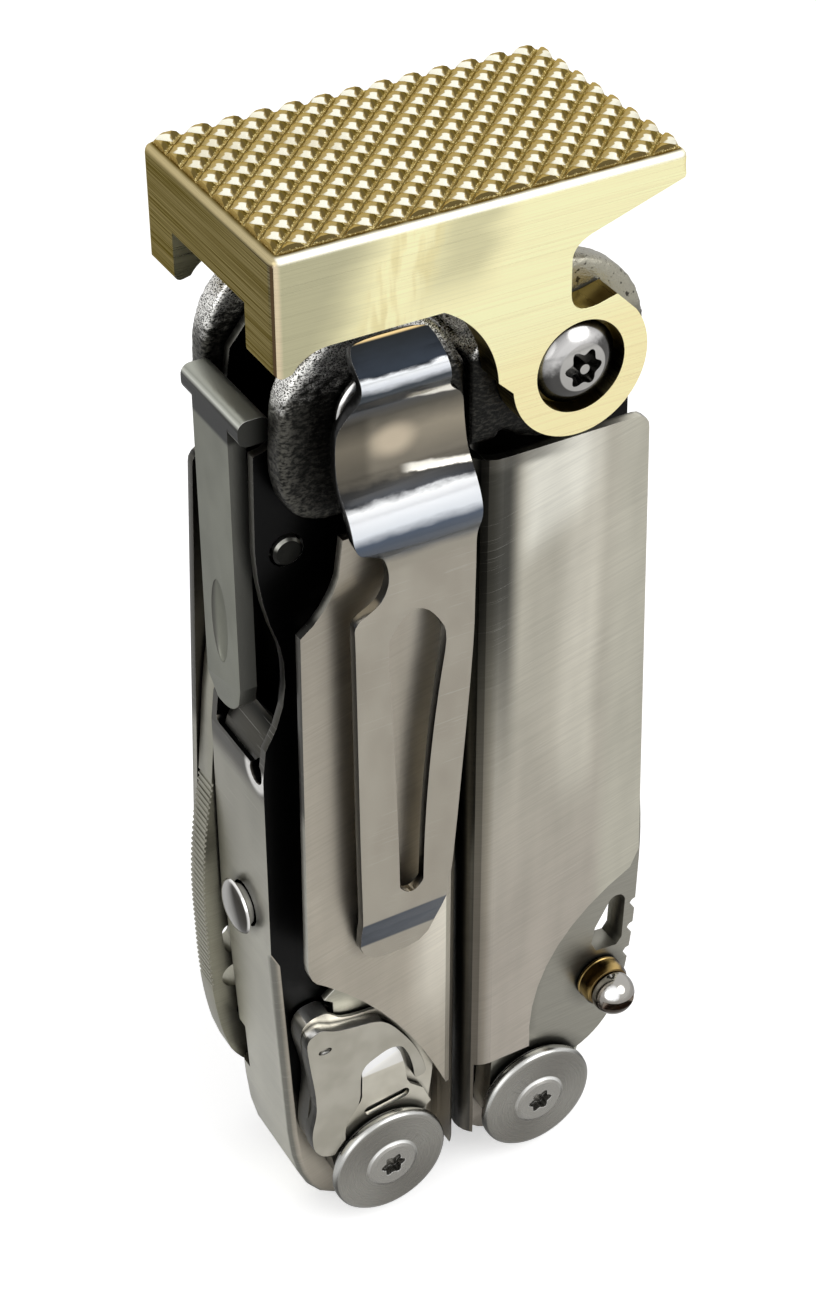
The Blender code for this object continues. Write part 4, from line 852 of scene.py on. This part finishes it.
# Painted reflections: dark and bright bands across the pressed ribs and the dish between them.
BAND_FOOT, BAND_LENGTH = 90.0, 25.0
height = (z + (ripple - 0.5) * 0.9 - BAND_FOOT) / BAND_LENGTH
rib_reflections = chrome.add("ShaderNodeValToRGB", None, {0: height}, stops=[
    ((level - BAND_FOOT) / BAND_LENGTH, tone) for level, tone in (
        (91.2, (0.38, 0.35, 0.29)), (92.6, (0.075, 0.085, 0.10)), (94.9, (0.10, 0.125, 0.17)),
        (96.2, (0.88, 0.92, 0.97)), (98.4, (0.95, 0.96, 0.97)), (99.0, (0.03, 0.032, 0.036)),
        (100.1, (0.035, 0.034, 0.032)), (100.9, (0.17, 0.154, 0.125)),
        (104.2, (0.34, 0.30, 0.23)), (106.6, (0.12, 0.11, 0.09)),
        (108.4, (0.075, 0.082, 0.095)), (110.2, (0.05, 0.062, 0.075)), (110.9, (0.80, 0.83, 0.88)),
        (111.6, (0.94, 0.96, 0.98)), (111.9, (0.012, 0.015, 0.020)),
        (114.0, (0.008, 0.009, 0.010)))])
chrome.tone = chrome.mix(z.band(89.8, 90.6), strip_tone, rib_reflections)
# A golden painted reflection of the brass head in the dish.
gold_reflection_reach = ((x + PIVOT[0]) ** 2.0 * 0.5 + (z - 103.9) ** 2.0) ** 0.5
chrome.over(gold_reflection_reach.band(2.2, 0.6) * 0.85, (0.66, 0.56, 0.42))
# Painted shade along the left edge of the dish.
chrome.shade(1 - x.band(-11.6, -13.0) * z.band(100, 101) * z.band(107.5, 106.5) * 0.42)
# Painted highlight streaks by the ribs.
slope = z + x * 0.12 + (ripple - 0.5) * 0.7
glint_streak = (slope.band(106.7, 107.0) * slope.band(108.0, 107.5) * x.band(-9.2, -7.8)
          + slope.band(99.3, 99.5) * slope.band(100.2, 99.9) * x.band(-9.5, -8.0))
chrome.over(glint_streak, (1.0, 0.96, 0.86))
scuff = chrome.grain((6, 6, 0.07), 1)
chrome.over(scuff.band(0.69, 0.73) * z.band(91, 89) * 0.3, (0.75, 0.74, 0.70))
# A dark bluish painted reflection on the foot's bend.
foot_bend = z.band(43.3, 43.7) * z.band(47.6, 47.2)
chrome.over(foot_bend, chrome.mix(ripple, (0.035, 0.042, 0.055), (0.095, 0.11, 0.135)))
# Painted shade on the strip's narrow sides.
chrome.over(abs(nx).band(0.5, 0.8), (0.035, 0.035, 0.035))
# Painted highlight on the broken edges.
chrome.over(chrome.edge() * 0.85, (0.92, 0.92, 0.90))
# A golden painted reflection along the top edge.
chrome.over(z.band(114.2, 114.4), (0.34, 0.25, 0.12))
# Painted shade in recesses.
chrome.shade(chrome.hollow(2.0) ** 0.6)
chrome.close(0.14 + ripple * 0.12, brushed, 0.002)
mounted(clip, "pocket_clip", chrome)


# ---------------------------------------------------------------- side bar
# A flat blasted bar with a T head, which rocks in the saddles of the left handle's channel
# and lies flush in the open side of that handle. A nail nick near its end lifts it.
blasted = Finish("blasted_steel")
x, y, z, nx, ny, nz = blasted.axes()
speckle = blasted.grain((0.16, 0.16, 0.16), 3)
cloud = blasted.grain((6, 6, 9), 2)
blasted.tone = blasted.mix(cloud.band(0.3, 0.7), (0.195, 0.199, 0.166), (0.245, 0.250, 0.210))
# Painted shade on the faces that look to the front.
blasted.over((-ny).band(0.5, 0.9), (0.14, 0.14, 0.125))
# Painted light and shade on the T head by its facing, and a painted highlight on its top front
# edge.
head_lit = nz * 0.5 + 0.5 + (cloud - 0.5) * 0.06
head_light_and_shade = blasted.add("ShaderNodeValToRGB", None, {0: head_lit}, stops=(
    (0.0, (0.03, 0.03, 0.03)), (0.30, (0.14, 0.14, 0.125)), (0.46, (0.030, 0.031, 0.031)),
    (0.62, (0.07, 0.07, 0.065)), (0.78, (0.60, 0.61, 0.55)), (0.90, (0.30, 0.305, 0.265)),
    (1.0, (0.46, 0.47, 0.41))))
head_light_and_shade = blasted.mix((-ny).band(0.6, 0.9), head_light_and_shade, (0.05, 0.05, 0.045))
head_light_and_shade = blasted.mix((-ny * nz).band(0.18, 0.34), head_light_and_shade, (0.97, 0.97, 0.95))
blasted.over(z.band(101.6, 102.2), head_light_and_shade)
# Painted highlight on the broken edges.
blasted.over(blasted.edge() * 0.4, (0.46, 0.46, 0.43))
# Painted shade in recesses.
blasted.shade(blasted.hollow(1.5) ** 0.7)
blasted.close(0.36 + speckle * 0.15, speckle, 0.01)

head_loop = [point for start, sx, sz in ((0, 1, 1), (90, -1, 1), (180, -1, -1), (270, 1, -1))
             for point in arc((-20.0 + sx * 0.6, 104.0 + sz * 0.35), 1.0, start, start + 90, 8)]
bar = made("side_bar_piece", rounded(sheet("side_bar", [head_loop], -5.8, 5.8), 0.62, 4,
                                     lambda point: abs(abs(point.y) - 5.8) < 0.01))
flat = [(-3.6, 104.0), (-3.6, 74.0)] + bow((-3.2, 72.2), (-1.6, 69.7), (1.6, 70.0), 10)
flat += [(3.6, 72.0), (3.6, 104.0)]
tongue_work = sheet("tongue", [flat], 0.0, 1.8)
tongue_work.transform(Matrix(((0, -1, 0, -19.8 * MM), (1, 0, 0, 0), (0, 0, 1, 0), (0, 0, 0, 1))))
tongue = made("tongue", rounded(tongue_work, 0.45, 1, lambda point: point.x < -21.5))


def egg(name, half_sizes, centre, rows):
    """A ball drawn out to these half sizes about a centre."""
    work = bmesh.new()
    bmesh.ops.create_uvsphere(work, u_segments=rows * 2, v_segments=rows, radius=MM)
    bmesh.ops.scale(work, vec=half_sizes, verts=work.verts)
    bmesh.ops.translate(work, vec=Vector(centre) * MM, verts=work.verts)
    return made(name, work)


carve(bar, tongue, operation="UNION")
carve(bar, egg("nick", (0.8, 1.7, 4.8), (-21.6, 0.2, 80.0), 20))
mounted(edged(bar, 0.1, 42, 2, 32), "side_bar", blasted)


# ---------------------------------------------------------------- screws, nuts, pins and discs
# Turned stainless fixings: domed pivot screws with a pin in a six-lobe recess, their nuts, the
# flat heads of the tool axles with a raised boss, and the plain pins between the walls.
def lobes(centre, radius, count=6, share=0.28):
    """Outline of a six-lobe recess."""
    points = []
    for step in range(count * 8):
        angle = math.radians(360 * step / (count * 8))
        reach = radius * (1 - share * (0.5 - 0.5 * math.cos(count * angle)))
        points.append((centre[0] + reach * math.cos(angle), centre[1] + reach * math.sin(angle)))
    return points


dark = Finish("dark_polished_steel")
x, y, z, nx, ny, nz = dark.axes()
smudge = dark.grain((0.7, 0.7, 0.7), 3)
# Painted highlight where the domes face up and left, and a darker painted reflection on top.
dark.tone = dark.mix((nz - nx * 0.4 + (smudge - 0.5) * 0.3).band(0.12, 0.42), (0.085, 0.083, 0.08),
                     (0.62, 0.61, 0.60))
dark.over((nz + nx * 0.2).band(0.72, 0.80), (0.20, 0.195, 0.19))
# A painted light ring round the recess, on its walls and on its pin.
from_axis = ((abs(x) - PIVOT[0]) ** 2.0 + (z - PIVOT[1]) ** 2.0) ** 0.5
dark.over(from_axis.band(2.5, 2.35), (0.46, 0.45, 0.43))
# Painted highlight on the broken edges.
dark.over(dark.edge() * 0.7, (0.75, 0.74, 0.72))
# Painted shade deep in the recess.
dark.shade(dark.hollow(1.6) ** 1.5)
dark.close(0.13 + smudge * 0.1)

for side, direction in (("left", -1), ("right", 1)):
    for kind, face in (("pivot_screw_", -1), ("pivot_nut_", 1)):
        node = kind + side
        seat, rise = (10.75, 2.5) if side == "right" else (9.5, 1.6)
        dome = bow((0.01, seat + rise), (3.05, seat + rise * 0.98), (4.2, seat + rise * 0.3), 16)
        shaft = -3.0 if face < 0 else 3.3
        profile = [(0, seat + rise)] + dome[1:] + [(4.2, seat + 0.12), (4.08, seat), (2.2, seat),
                                                   (2.2, shaft), (0, shaft)]
        centre = (direction * PIVOT[0], PIVOT[1])
        screw = turning(node + "_piece", profile, (centre[0], 0, centre[1]), "Y", face)
        star = [lobes(centre, 1.97), arc(centre, 0.5, 0, 345, 23)]
        carve(screw, made("star", sheet("star", star, face * (seat + rise * 0.3),
                                        face * (seat + rise + 1))))
        mounted(edged(screw, 0.07, 40), node, dark)

AXLE = (9.5, 8.4)
turned = Finish("turned_stainless")
x, y, z, nx, ny, nz = turned.axes()
arm = abs(x) - AXLE[0]
rise = z - AXLE[1]
turn = turned.add("ShaderNodeMath", {"operation": "ARCTAN2"}, {0: rise, 1: arm})
reach = (arm * arm + rise * rise) ** 0.5
fine_turning = turned.add("ShaderNodeTexNoise", None, {"Vector": turned.add(
    "ShaderNodeCombineXYZ", None, {0: turn * 1.2, 1: reach * 9.0, 2: 0.0}), "Scale": 1.0})
spokes = turned.add("ShaderNodeTexNoise", None, {"Vector": turned.add(
    "ShaderNodeCombineXYZ", None, {0: turn * 26.0, 1: reach * 0.3, 2: 0.0}), "Scale": 1.0})
sheen = turned.add("ShaderNodeMath", {"operation": "SINE"}, {0: turn * 2.0 + 2.6})
turned.tone = turned.mix(sheen * 0.5 + 0.5, (0.225, 0.217, 0.196), (0.310, 0.302, 0.276))
turned.shade(fine_turning.band(0.3, 0.7) * 0.10 + 0.95)
turned.shade(1 - spokes.band(0.52, 0.66) * reach.band(5.0, 3.6) * 0.3 * turn.band(1.4, 2.2))
turned.over(reach.band(3.1, 3.0), (0.37, 0.36, 0.335))
ring_lit = reach.band(2.85, 2.95) * reach.band(3.25, 3.12) * (nz * 1.0 + 1.0).band(0.9, 1.1)
turned.over(ring_lit * (turn.band(0.2, 1.0) * turn.band(2.6, 2.0) * 0.7 + 0.25), (0.92, 0.92, 0.90))
# Painted highlight on the rim where it faces up.
rim_lit = (nz * 0.9 - nx * 0.3).band(0.15, 0.5)
turned.over(reach.band(6.55, 6.65) * rim_lit, (0.55, 0.55, 0.53))
# Painted shade on the foot under the rim and on the rim's lower side.
turned.over(abs(y).band(10.0, 9.75), (0.05, 0.05, 0.045))
turned.over(reach.band(6.55, 6.7) * abs(ny).band(0.85, 0.6) * (1 - rim_lit), (0.10, 0.098, 0.09))
# Painted highlight on the broken edges.
turned.over(turned.edge() * 0.6, (0.82, 0.82, 0.80))
# Painted shade in recesses.
turned.shade(turned.hollow(1.5))
turned.close(0.2 + fine_turning * 0.14, fine_turning, 0.003)
# The pins sit deep between the walls: their near-black tone is painted shade.
pin_steel = Finish("dark_pin_steel")
nx, ny, nz = pin_steel.facing()
pin_steel.tone = pin_steel.mix(pin_steel.grain((1, 1, 1), 2), (0.012, 0.012, 0.011),
                               (0.030, 0.030, 0.027))
# A painted highlight on the pins' upper side.
pin_steel.over(abs(ny).band(0.9, 0.75) * nz.band(0.2, 0.5), (0.30, 0.30, 0.27))
pin_steel.close(0.35)

for side, direction in (("left", -1), ("right", 1)):
    for where, face in (("front", -1), ("back", 1)):
        node = "tool_disc_%s_%s" % (side, where)
        profile = [(0, 11.3), (2.6, 11.3), (3.0, 11.06), (3.1, 10.95), (3.3, 10.9), (6.25, 10.9),
                   (6.6, 10.78), (6.85, 10.5), (6.9, 10.2), (6.9, 9.9), (6.75, 9.72), (6.3, 9.7),
                   (6.3, 9.58), (6.6, 9.55), (6.6, 9.42), (6.4, 9.4), (0, 9.4)]
        disc = turning(node + "_piece", profile, (direction * AXLE[0], 0, AXLE[1]), "Y", face)
        star = [lobes((direction * AXLE[0], AXLE[1]), 1.5)]
        carve(disc, made("star", sheet("star", star, face * 10.3, face * 12.5)))
        mounted(edged(disc, 0.06, 45), node, turned)
for node in ("plier_pin", "stop_pin_left", "stop_pin_right", "tool_axle_left", "tool_axle_right"):
    low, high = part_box(node)
    middle = (low + high) / 2 / MM
    radius, half = (high.x - low.x) / 2 / MM, (high.y - low.y) / 2 / MM
    pin = turning(node + "_piece", [(0, half), (radius - 0.25, half), (radius, half - 0.25),
                                    (radius, 0.25 - half), (radius - 0.25, -half), (0, -half)],
                  (middle.x, 0, middle.z), "Y", 1, 48)
    smooth(pin.data)
    mounted(pin, node, pin_steel)


# ---------------------------------------------------------------- release buttons and springs
# A domed button in the web of each handle, pressed inwards against a flat spring that
# holds the outer blades open.
button_steel = Finish("polished_button")
nx, ny, nz = button_steel.facing()
# Painted reflection: the domes are painted dark where they face up and to the front.
button_steel.tone = button_steel.mix((nz * 0.4 - ny * 0.9).band(-0.05, 0.25), (0.52, 0.51, 0.49),
                                     (0.060, 0.056, 0.050))
# Painted highlight round the dome's edge towards the front and top.
button_steel.over(abs(nx).band(0.75, 0.5) * (nz - ny).band(0.2, 0.7), (0.85, 0.84, 0.82))
# Painted shade in recesses.
button_steel.shade(button_steel.hollow(1.2))
button_steel.close(0.16)
for side, direction in (("left", -1), ("right", 1)):
    node = "lock_button_" + side
    profile = [(0, 22.5)] + bow((0.3, 22.49), (2.4, 22.4), (2.95, 21.75), 12) + [
        (3.05, 21.55), (2.95, 21.4), (2.3, 21.4), (2.3, 18.3), (0, 18.3)]
    button = turning(node + "_piece", profile, (0, 0, 43.5), "X", direction)
    smooth(button.data, 35, False)
    mounted(button, node, button_steel)


# ---------------------------------------------------------------- outer blades
# Satin-ground blades in the side pockets, turning on the tool axles: the knife in front on the
# right, the file behind it, the serrated knife behind on the left. Their spines are jimped.
ground = Finish("satin_ground_blade")
x, y, z = ground.split(ground.place)
brushed = ground.grain((5, 5, 0.16), 3)
cloud = ground.grain((7, 7, 12), 2)
ground.tone = ground.mix(cloud.band(0.3, 0.7), (0.310, 0.300, 0.245), (0.400, 0.390, 0.322))
ground.over(x.band(0, 1), (0.32, 0.31, 0.268))
# Bright broken edges: partly wear, partly painted highlight.
ground.over(ground.edge() * 0.6, (0.66, 0.66, 0.62))
ground.shade(brushed.band(0.25, 0.7) * 0.14 + 0.92)
# Painted shade in recesses.
ground.shade(ground.hollow(2.0))
ground.close(0.26 + brushed * 0.14, brushed, 0.004)

BLADE_LAYER = (6.05, 9.05)
GRIND_LINE, EDGE_LINE, EDGE_SHARE = 8.4, 4.8, 0.12
STUD = (17.9, 22.2)
spine = bow((7.6, 90.5), (17.5, 88.0), (19.9, 66.0), 12) + bow(
    (20.9, 55.0), (22.7, 46.0), (22.6, 38.0), 8)
spine += bow((22.5, 33.0), (22.4, 25.0), (21.2, 19.4), 8) + bow(
    (20.4, 16.6), (18.4, 12.6), (14.4, 11.6), 8)
blade_loop = spine + arc(AXLE, 5.7, 18, -196, 30) + [(4.3, 16.0), (4.6, 24.0), (4.2, 60.0)] + bow(
    (4.3, 68.0), (4.6, 82.0), (7.0, 90.0), 10)
axle_hole = arc(AXLE, 2.9, 0, 350, 35)
stud_hole = arc(STUD, 1.6, 0, 345, 23)

row_tree, told = tree_of("row_along_path", {"Path": "Object", "Shape": "Object",
                                            "Pitch": "Float", "Steel": "Material"}, "Row")
path_in = wired(row_tree, "GeometryNodeObjectInfo", {}, {"Object": told["Path"]})
as_curve = wired(row_tree, "GeometryNodeMeshToCurve", {}, {0: path_in.outputs["Geometry"]})
stations = wired(row_tree, "GeometryNodeCurveToPoints", {"mode": "LENGTH"}, {
    "Curve": as_curve.outputs[0], "Length": told["Pitch"]})
turned_to = wired(row_tree, "FunctionNodeAlignRotationToVector", {"axis": "Z", "pivot_axis": "Y"},
                  {"Vector": stations.outputs["Tangent"]})
shape_in = wired(row_tree, "GeometryNodeObjectInfo", {}, {"Object": told["Shape"]})
row_of = wired(row_tree, "GeometryNodeInstanceOnPoints", {}, {
    "Points": stations.outputs["Points"], "Instance": shape_in.outputs["Geometry"],
    "Rotation": turned_to.outputs[0]})
ended(row_tree, row_of.outputs[0], told["Steel"])


def row(name, points, shape, pitch, finish):
    """Copies of a shape along a path of (x, y, z) points, a pitch apart."""
    line = bpy.data.meshes.new("path")
    line.from_pydata([Vector(point) * MM for point in points],
                     [(i, i + 1) for i in range(len(points) - 1)], [])
    path = show("path", line)
    piece = worked(row_tree, {"Path": path, "Shape": shape, "Pitch": pitch * MM,
                              "Steel": finish.material}, name)
    bpy.data.objects.remove(path, do_unlink=True)
    return piece


def along_spine(low, high, side, y):
    """The points of the blades' spine between two heights."""
    return [(side * px, y, pz) for px, pz in spine if low <= pz <= high]


for node, side, face, jimps in (("knife_blade", 1, -1, (23.5, 32.0)),
                                ("serrated_blade", -1, 1, (26.0, 56.0))):
    loops = [blade_loop, axle_hole, stud_hole]
    if node == "knife_blade":
        loops.append(arc((19.95, 32.1), 1.15, 0, 165, 12) + [
            (17.3, 29.6), (16.9, 27.4), (17.6, 26.0), (20.3, 25.7), (20.95, 26.6)])
    else:
        loops.append(arc((19.8, 34.2), 0.9, 0, 180, 8) + arc((19.6, 32.0), 0.9, 180, 360, 8))
        loops.append(arc((19.4, 27.6), 1.6, 0, 345, 23))
    blade = made(node + "_piece", sheet(node, [mirrored(loop, side) for loop in loops],
                                        face * BLADE_LAYER[0], face * BLADE_LAYER[1]))
    groove_work = bmesh.new()
    bmesh.ops.create_cone(groove_work, cap_ends=True, segments=10, radius1=0.24 * MM,
                          radius2=0.24 * MM, depth=8 * MM,
                          matrix=Matrix.Rotation(math.radians(90), 4, "X"))
    if node == "knife_blade":
        bmesh.ops.scale(groove_work, vec=(3.0, 1, 3.2), verts=groove_work.verts)
    groove = made("groove", groove_work)
    grooves = row("grooves", along_spine(*jimps, side, face * 7.5), groove,
                  0.7 if side < 0 else 2.6, ground)
    bpy.data.objects.remove(groove, do_unlink=True)
    carve(blade, grooves)
    with reworked(blade.data) as work:
        sliced(work, (side * GRIND_LINE, 0, 0), (1, 0, 0))
        middle = face * sum(BLADE_LAYER) / 2 * MM
        for corner in work.verts:
            if corner.co.z > 20 * MM and abs(corner.co.x) < EDGE_LINE * MM:
                corner.co.y = middle + (corner.co.y - middle) * EDGE_SHARE
        bmesh.ops.remove_doubles(work, verts=work.verts, dist=1e-6)
    mounted(edged(blade, 0.14, 40, 2, 32), node, ground)

dressed("file_blade", 0.14, ground)


# ---------------------------------------------------------------- saw, its holder and lever
# The saw sits in a folded holder of polished sheet in the left front pocket. A springy tongue,
# cut free in the sheet and pierced by an oval slot, lets the saw out.
holder_steel = Finish("polished_holder_steel")
x, y, z, nx, ny, nz = holder_steel.axes()
brushed = holder_steel.grain((3, 3, 0.3), 3)
cloud = holder_steel.grain((4, 4, 4), 2)
holder_steel.tone = holder_steel.mix(cloud.band(0.3, 0.7), (0.430, 0.408, 0.345),
                                     (0.520, 0.498, 0.430))
# Painted shade on faces that look sideways or down.
holder_steel.over(abs(nx).band(0.5, 0.9) + (-nz).band(0.5, 0.9), (0.06, 0.058, 0.05))
# Painted shade on the pad's sides and rounded rim.
rim = ny.band(-0.94, -0.80) * y.band(-8.9, -9.1)
holder_steel.over(rim * 0.9, (0.030, 0.029, 0.026))
# Painted highlight on faces that look up.
holder_steel.over(nz.band(0.75, 0.95), (0.90, 0.89, 0.86))
# Painted highlight on the flap at the pad's front.
flap = x.band(-12.4, -12.2) * x.band(-6.8, -7.0) * z.band(21.2, 21.5) * z.band(24.8, 24.5)
flap = flap * y.band(-9.2, -9.1)
holder_steel.over(flap, holder_steel.mix((z - x * 0.3).band(24.4, 26.4), (0.62, 0.61, 0.58),
                                         (1.0, 1.0, 0.98)))
# Painted light: front faces behind the pad are painted a third brighter.
holder_steel.shade(y.band(-9.3, -9.1) * ny.band(-0.7, -0.9) * 0.35 + 1)
# Edges: a painted highlight on the pad's front, painted shade on the edges behind it.
pad_edge_light_and_shade = holder_steel.mix(y.band(-9.2, -9.1), (0.86, 0.85, 0.82), (0.02, 0.02, 0.018))
holder_steel.over(holder_steel.edge() * 0.85, pad_edge_light_and_shade)
# Painted shade in recesses.
holder_steel.shade(holder_steel.hollow(0.5) ** 1.6)
holder_steel.close(0.26 + brushed * 0.12, brushed, 0.003)

holder_loop = eased(bow((18.8, 30.6), (18.4, 32.6), (15.6, 32.2), 5) + [(13.8, 30.4), (7.6, 29.9)]
                    + bow((6.0, 28.8), (3.6, 25.0), (2.8, 18.0), 8) + [(3.4, 13.0)]
                    + arc(AXLE, 5.7, 166, 345, 36) + [(15.6, 10.4)]
                    + bow((17.2, 12.2), (18.6, 13.8), (18.4, 17.0), 5)
                    + [(17.7, 23.5), (18.9, 29.0)])
holder = made("saw_holder_piece", sheet("saw_holder", [mirrored(holder_loop, -1)], -8.25, -6.05))
pad_loop = eased([(18.9, 30.6), (17.2, 31.6), (15.4, 30.6), (13.8, 30.2), (10.2, 29.6), (8.6, 28.2),
                  (6.0, 24.1), (4.8, 21.0), (4.4, 18.8), (5.9, 18.6), (6.1, 20.6), (6.6, 22.6),
                  (7.4, 24.4), (9.0, 24.9), (11.8, 23.8), (12.5, 22.6), (12.6, 18.3), (14.5, 15.8),
                  (14.5, 11.6), (17.2, 12.2), (18.4, 13.8), (18.6, 16.4), (17.9, 19.4),
                  (18.0, 22.5), (18.6, 27.2)])
pad = made("pad", rounded(sheet("pad", [mirrored(pad_loop, -1)], -9.65, -8.0), 0.28, 3,
                          lambda point: point.y < -9.6))
carve(holder, pad, operation="UNION")
axle_place = (-AXLE[0], 0, AXLE[1])
slot = sheet("saw_slot", [[(-15.3, 24.0), (-6.7, 24.0), (-6.7, 40.0), (-15.3, 40.0)]], -7.85, -6.45)
carve(holder, turning("relief", [(0, 14), (7.3, 14), (7.3, 9.05), (0, 9.05)], axle_place, "Y", -1),
      turning("bore", [(0, 12), (2.9, 12), (2.9, 4), (0, 4)], axle_place, "Y", -1),
      made("saw_slot", slot), egg("dimple", (0.8, 0.5, 0.45), (-16.7, -9.7, 28.3), 12))
mounted(edged(holder, 0.09, 45, 2, 32), "saw_holder", holder_steel)

LEVER_BEND = 21.4
lever_loop = [(12.0, 22.7), (11.4, 23.3), (9.1, 24.3), (7.8, 23.9), (7.2, 22.6), (6.8, 20.6),
              (6.5, 18.2), (6.1, 17.4), (4.5, 15.9), (3.5, 13.4)]
lever_loop += arc(AXLE, 5.7, 140, 62, 14) + [(14.1, 12.6), (14.2, 15.3), (13.8, 15.9), (12.3, 17.8),
                                             (12.1, 18.4)]
oval = arc((11.2, 15.9), 0.65, -90, 90, 10) + arc((6.9, 16.4), 0.65, 90, 270, 10)
lever_work = sheet("release_lever", [mirrored(lever_loop, -1), mirrored(oval, -1)], -9.05, -8.55)
sliced(lever_work, (0, 0, LEVER_BEND), (0, 0, 1))
for corner in lever_work.verts:
    corner.co.y += max(corner.co.z - LEVER_BEND * MM, 0) * 0.22
lever = made("release_lever_piece", lever_work)
mounted(edged(lever, 0.12, 40, 3, 32), "release_lever", holder_steel)
dressed("saw_blade", 0.06, ground)


# ---------------------------------------------------------------- thumb studs
# A slotted ball screw on a turned bronze collar stands on the knife and on the serrated blade,
# so that a thumb can open either with the handles folded.
bronze = Finish("aged_bronze")
nx, ny, nz = bronze.facing()
stain = bronze.grain((0.9, 0.9, 0.9), 3)
lit = (1 - abs(nz * 0.8 - nx * 0.6 - 0.45) * 2.4 + (stain - 0.5) * 0.5).band(0.0, 0.9)
bronze.tone = bronze.mix(lit, (0.022, 0.012, 0.003), (0.50, 0.35, 0.13))
# Painted shade on the collars' end faces.
bronze.over(abs(ny).band(0.8, 0.95), (0.20, 0.13, 0.05))
# Painted highlight on the broken edges.
bronze.over(bronze.edge() * 0.5, (0.55, 0.40, 0.18))
# Painted shade in recesses.
bronze.shade(bronze.hollow(1.2))
bronze.close(0.28)
ball_steel = Finish("polished_ball")
nx, ny, nz = ball_steel.facing()
smear = ball_steel.grain((0.8, 0.8, 0.8), 3)
toward_light = nz * 0.62 - ny * 0.62 - nx * 0.45 + (smear - 0.5) * 0.08
# Painted light and shade: dark below the middle, a lighter painted reflection underneath, lighter
# on top.
ball_steel.tone = ball_steel.mix(nz.band(-0.1, 0.25), (0.05, 0.035, 0.025), (0.33, 0.31, 0.285))
ball_steel.over((-nz).band(0.35, 0.6), (0.33, 0.31, 0.28))
ball_steel.over((nz - ny * 0.5).band(0.75, 0.95) * 0.6, (0.46, 0.45, 0.42))
ball_steel.over(toward_light.band(0.90, 0.965), (1.0, 1.0, 1.0))
# Painted shade on the side that faces right.
ball_steel.over(nx.band(0.55, 0.9), (0.12, 0.115, 0.10))
# Painted shade in the slit, in dark brown.
ball_steel.over(ball_steel.hollow(0.9).band(0.75, 0.4), (0.10, 0.035, 0.015))
ball_steel.close(0.12)

BALL_MIDDLE, BALL_RADIUS = 12.25, 2.45
for name, side, face in (("knife", 1, -1), ("serrated", -1, 1)):
    centre = (side * STUD[0], 0, STUD[1])
    ring = [(2.8, 9.35), (2.8, 9.6), (2.72, 9.7), (2.74, 10.9), (2.5, 11.35), (2.3, 11.45),
            (1.6, 11.45), (1.6, 9.35), (2.8, 9.35)]
    collar = turning(name + "_collar_piece", ring, centre, "Y", face)
    mounted(edged(collar, 0.06, 50), name + "_collar", bronze)
    ball = [(0, BALL_MIDDLE + BALL_RADIUS)] + arc((0, BALL_MIDDLE), BALL_RADIUS, 88, -11.8, 26)
    ball += [(1.3, ball[-1][1]), (1.3, 6.45), (0, 6.45)]
    stud = turning(name + "_stud_piece", ball, centre, "Y", face)
    slit = [(centre[0] + u, STUD[1] + v) for u, v in ((-3, -0.5), (3, -0.5), (3, 0.5), (-3, 0.5))]
    carve(stud, made("slit", sheet("slit", [slit], face * (BALL_MIDDLE + 1.2),
                                   face * (BALL_MIDDLE + 4))))
    mounted(edged(stud, 0.06, 45), name + "_stud", ball_steel)


# ---------------------------------------------------------------- inner tools
# Three small satin tools side by side in each channel, on the same axle as the outer blades,
# and the flat springs behind the release buttons.
for node in ("can_opener", "large_driver", "awl", "bit_driver", "small_driver", "wire_stripper",
             "lock_spring_left", "lock_spring_right"):
    dressed(node, 0.14, ground, 45)
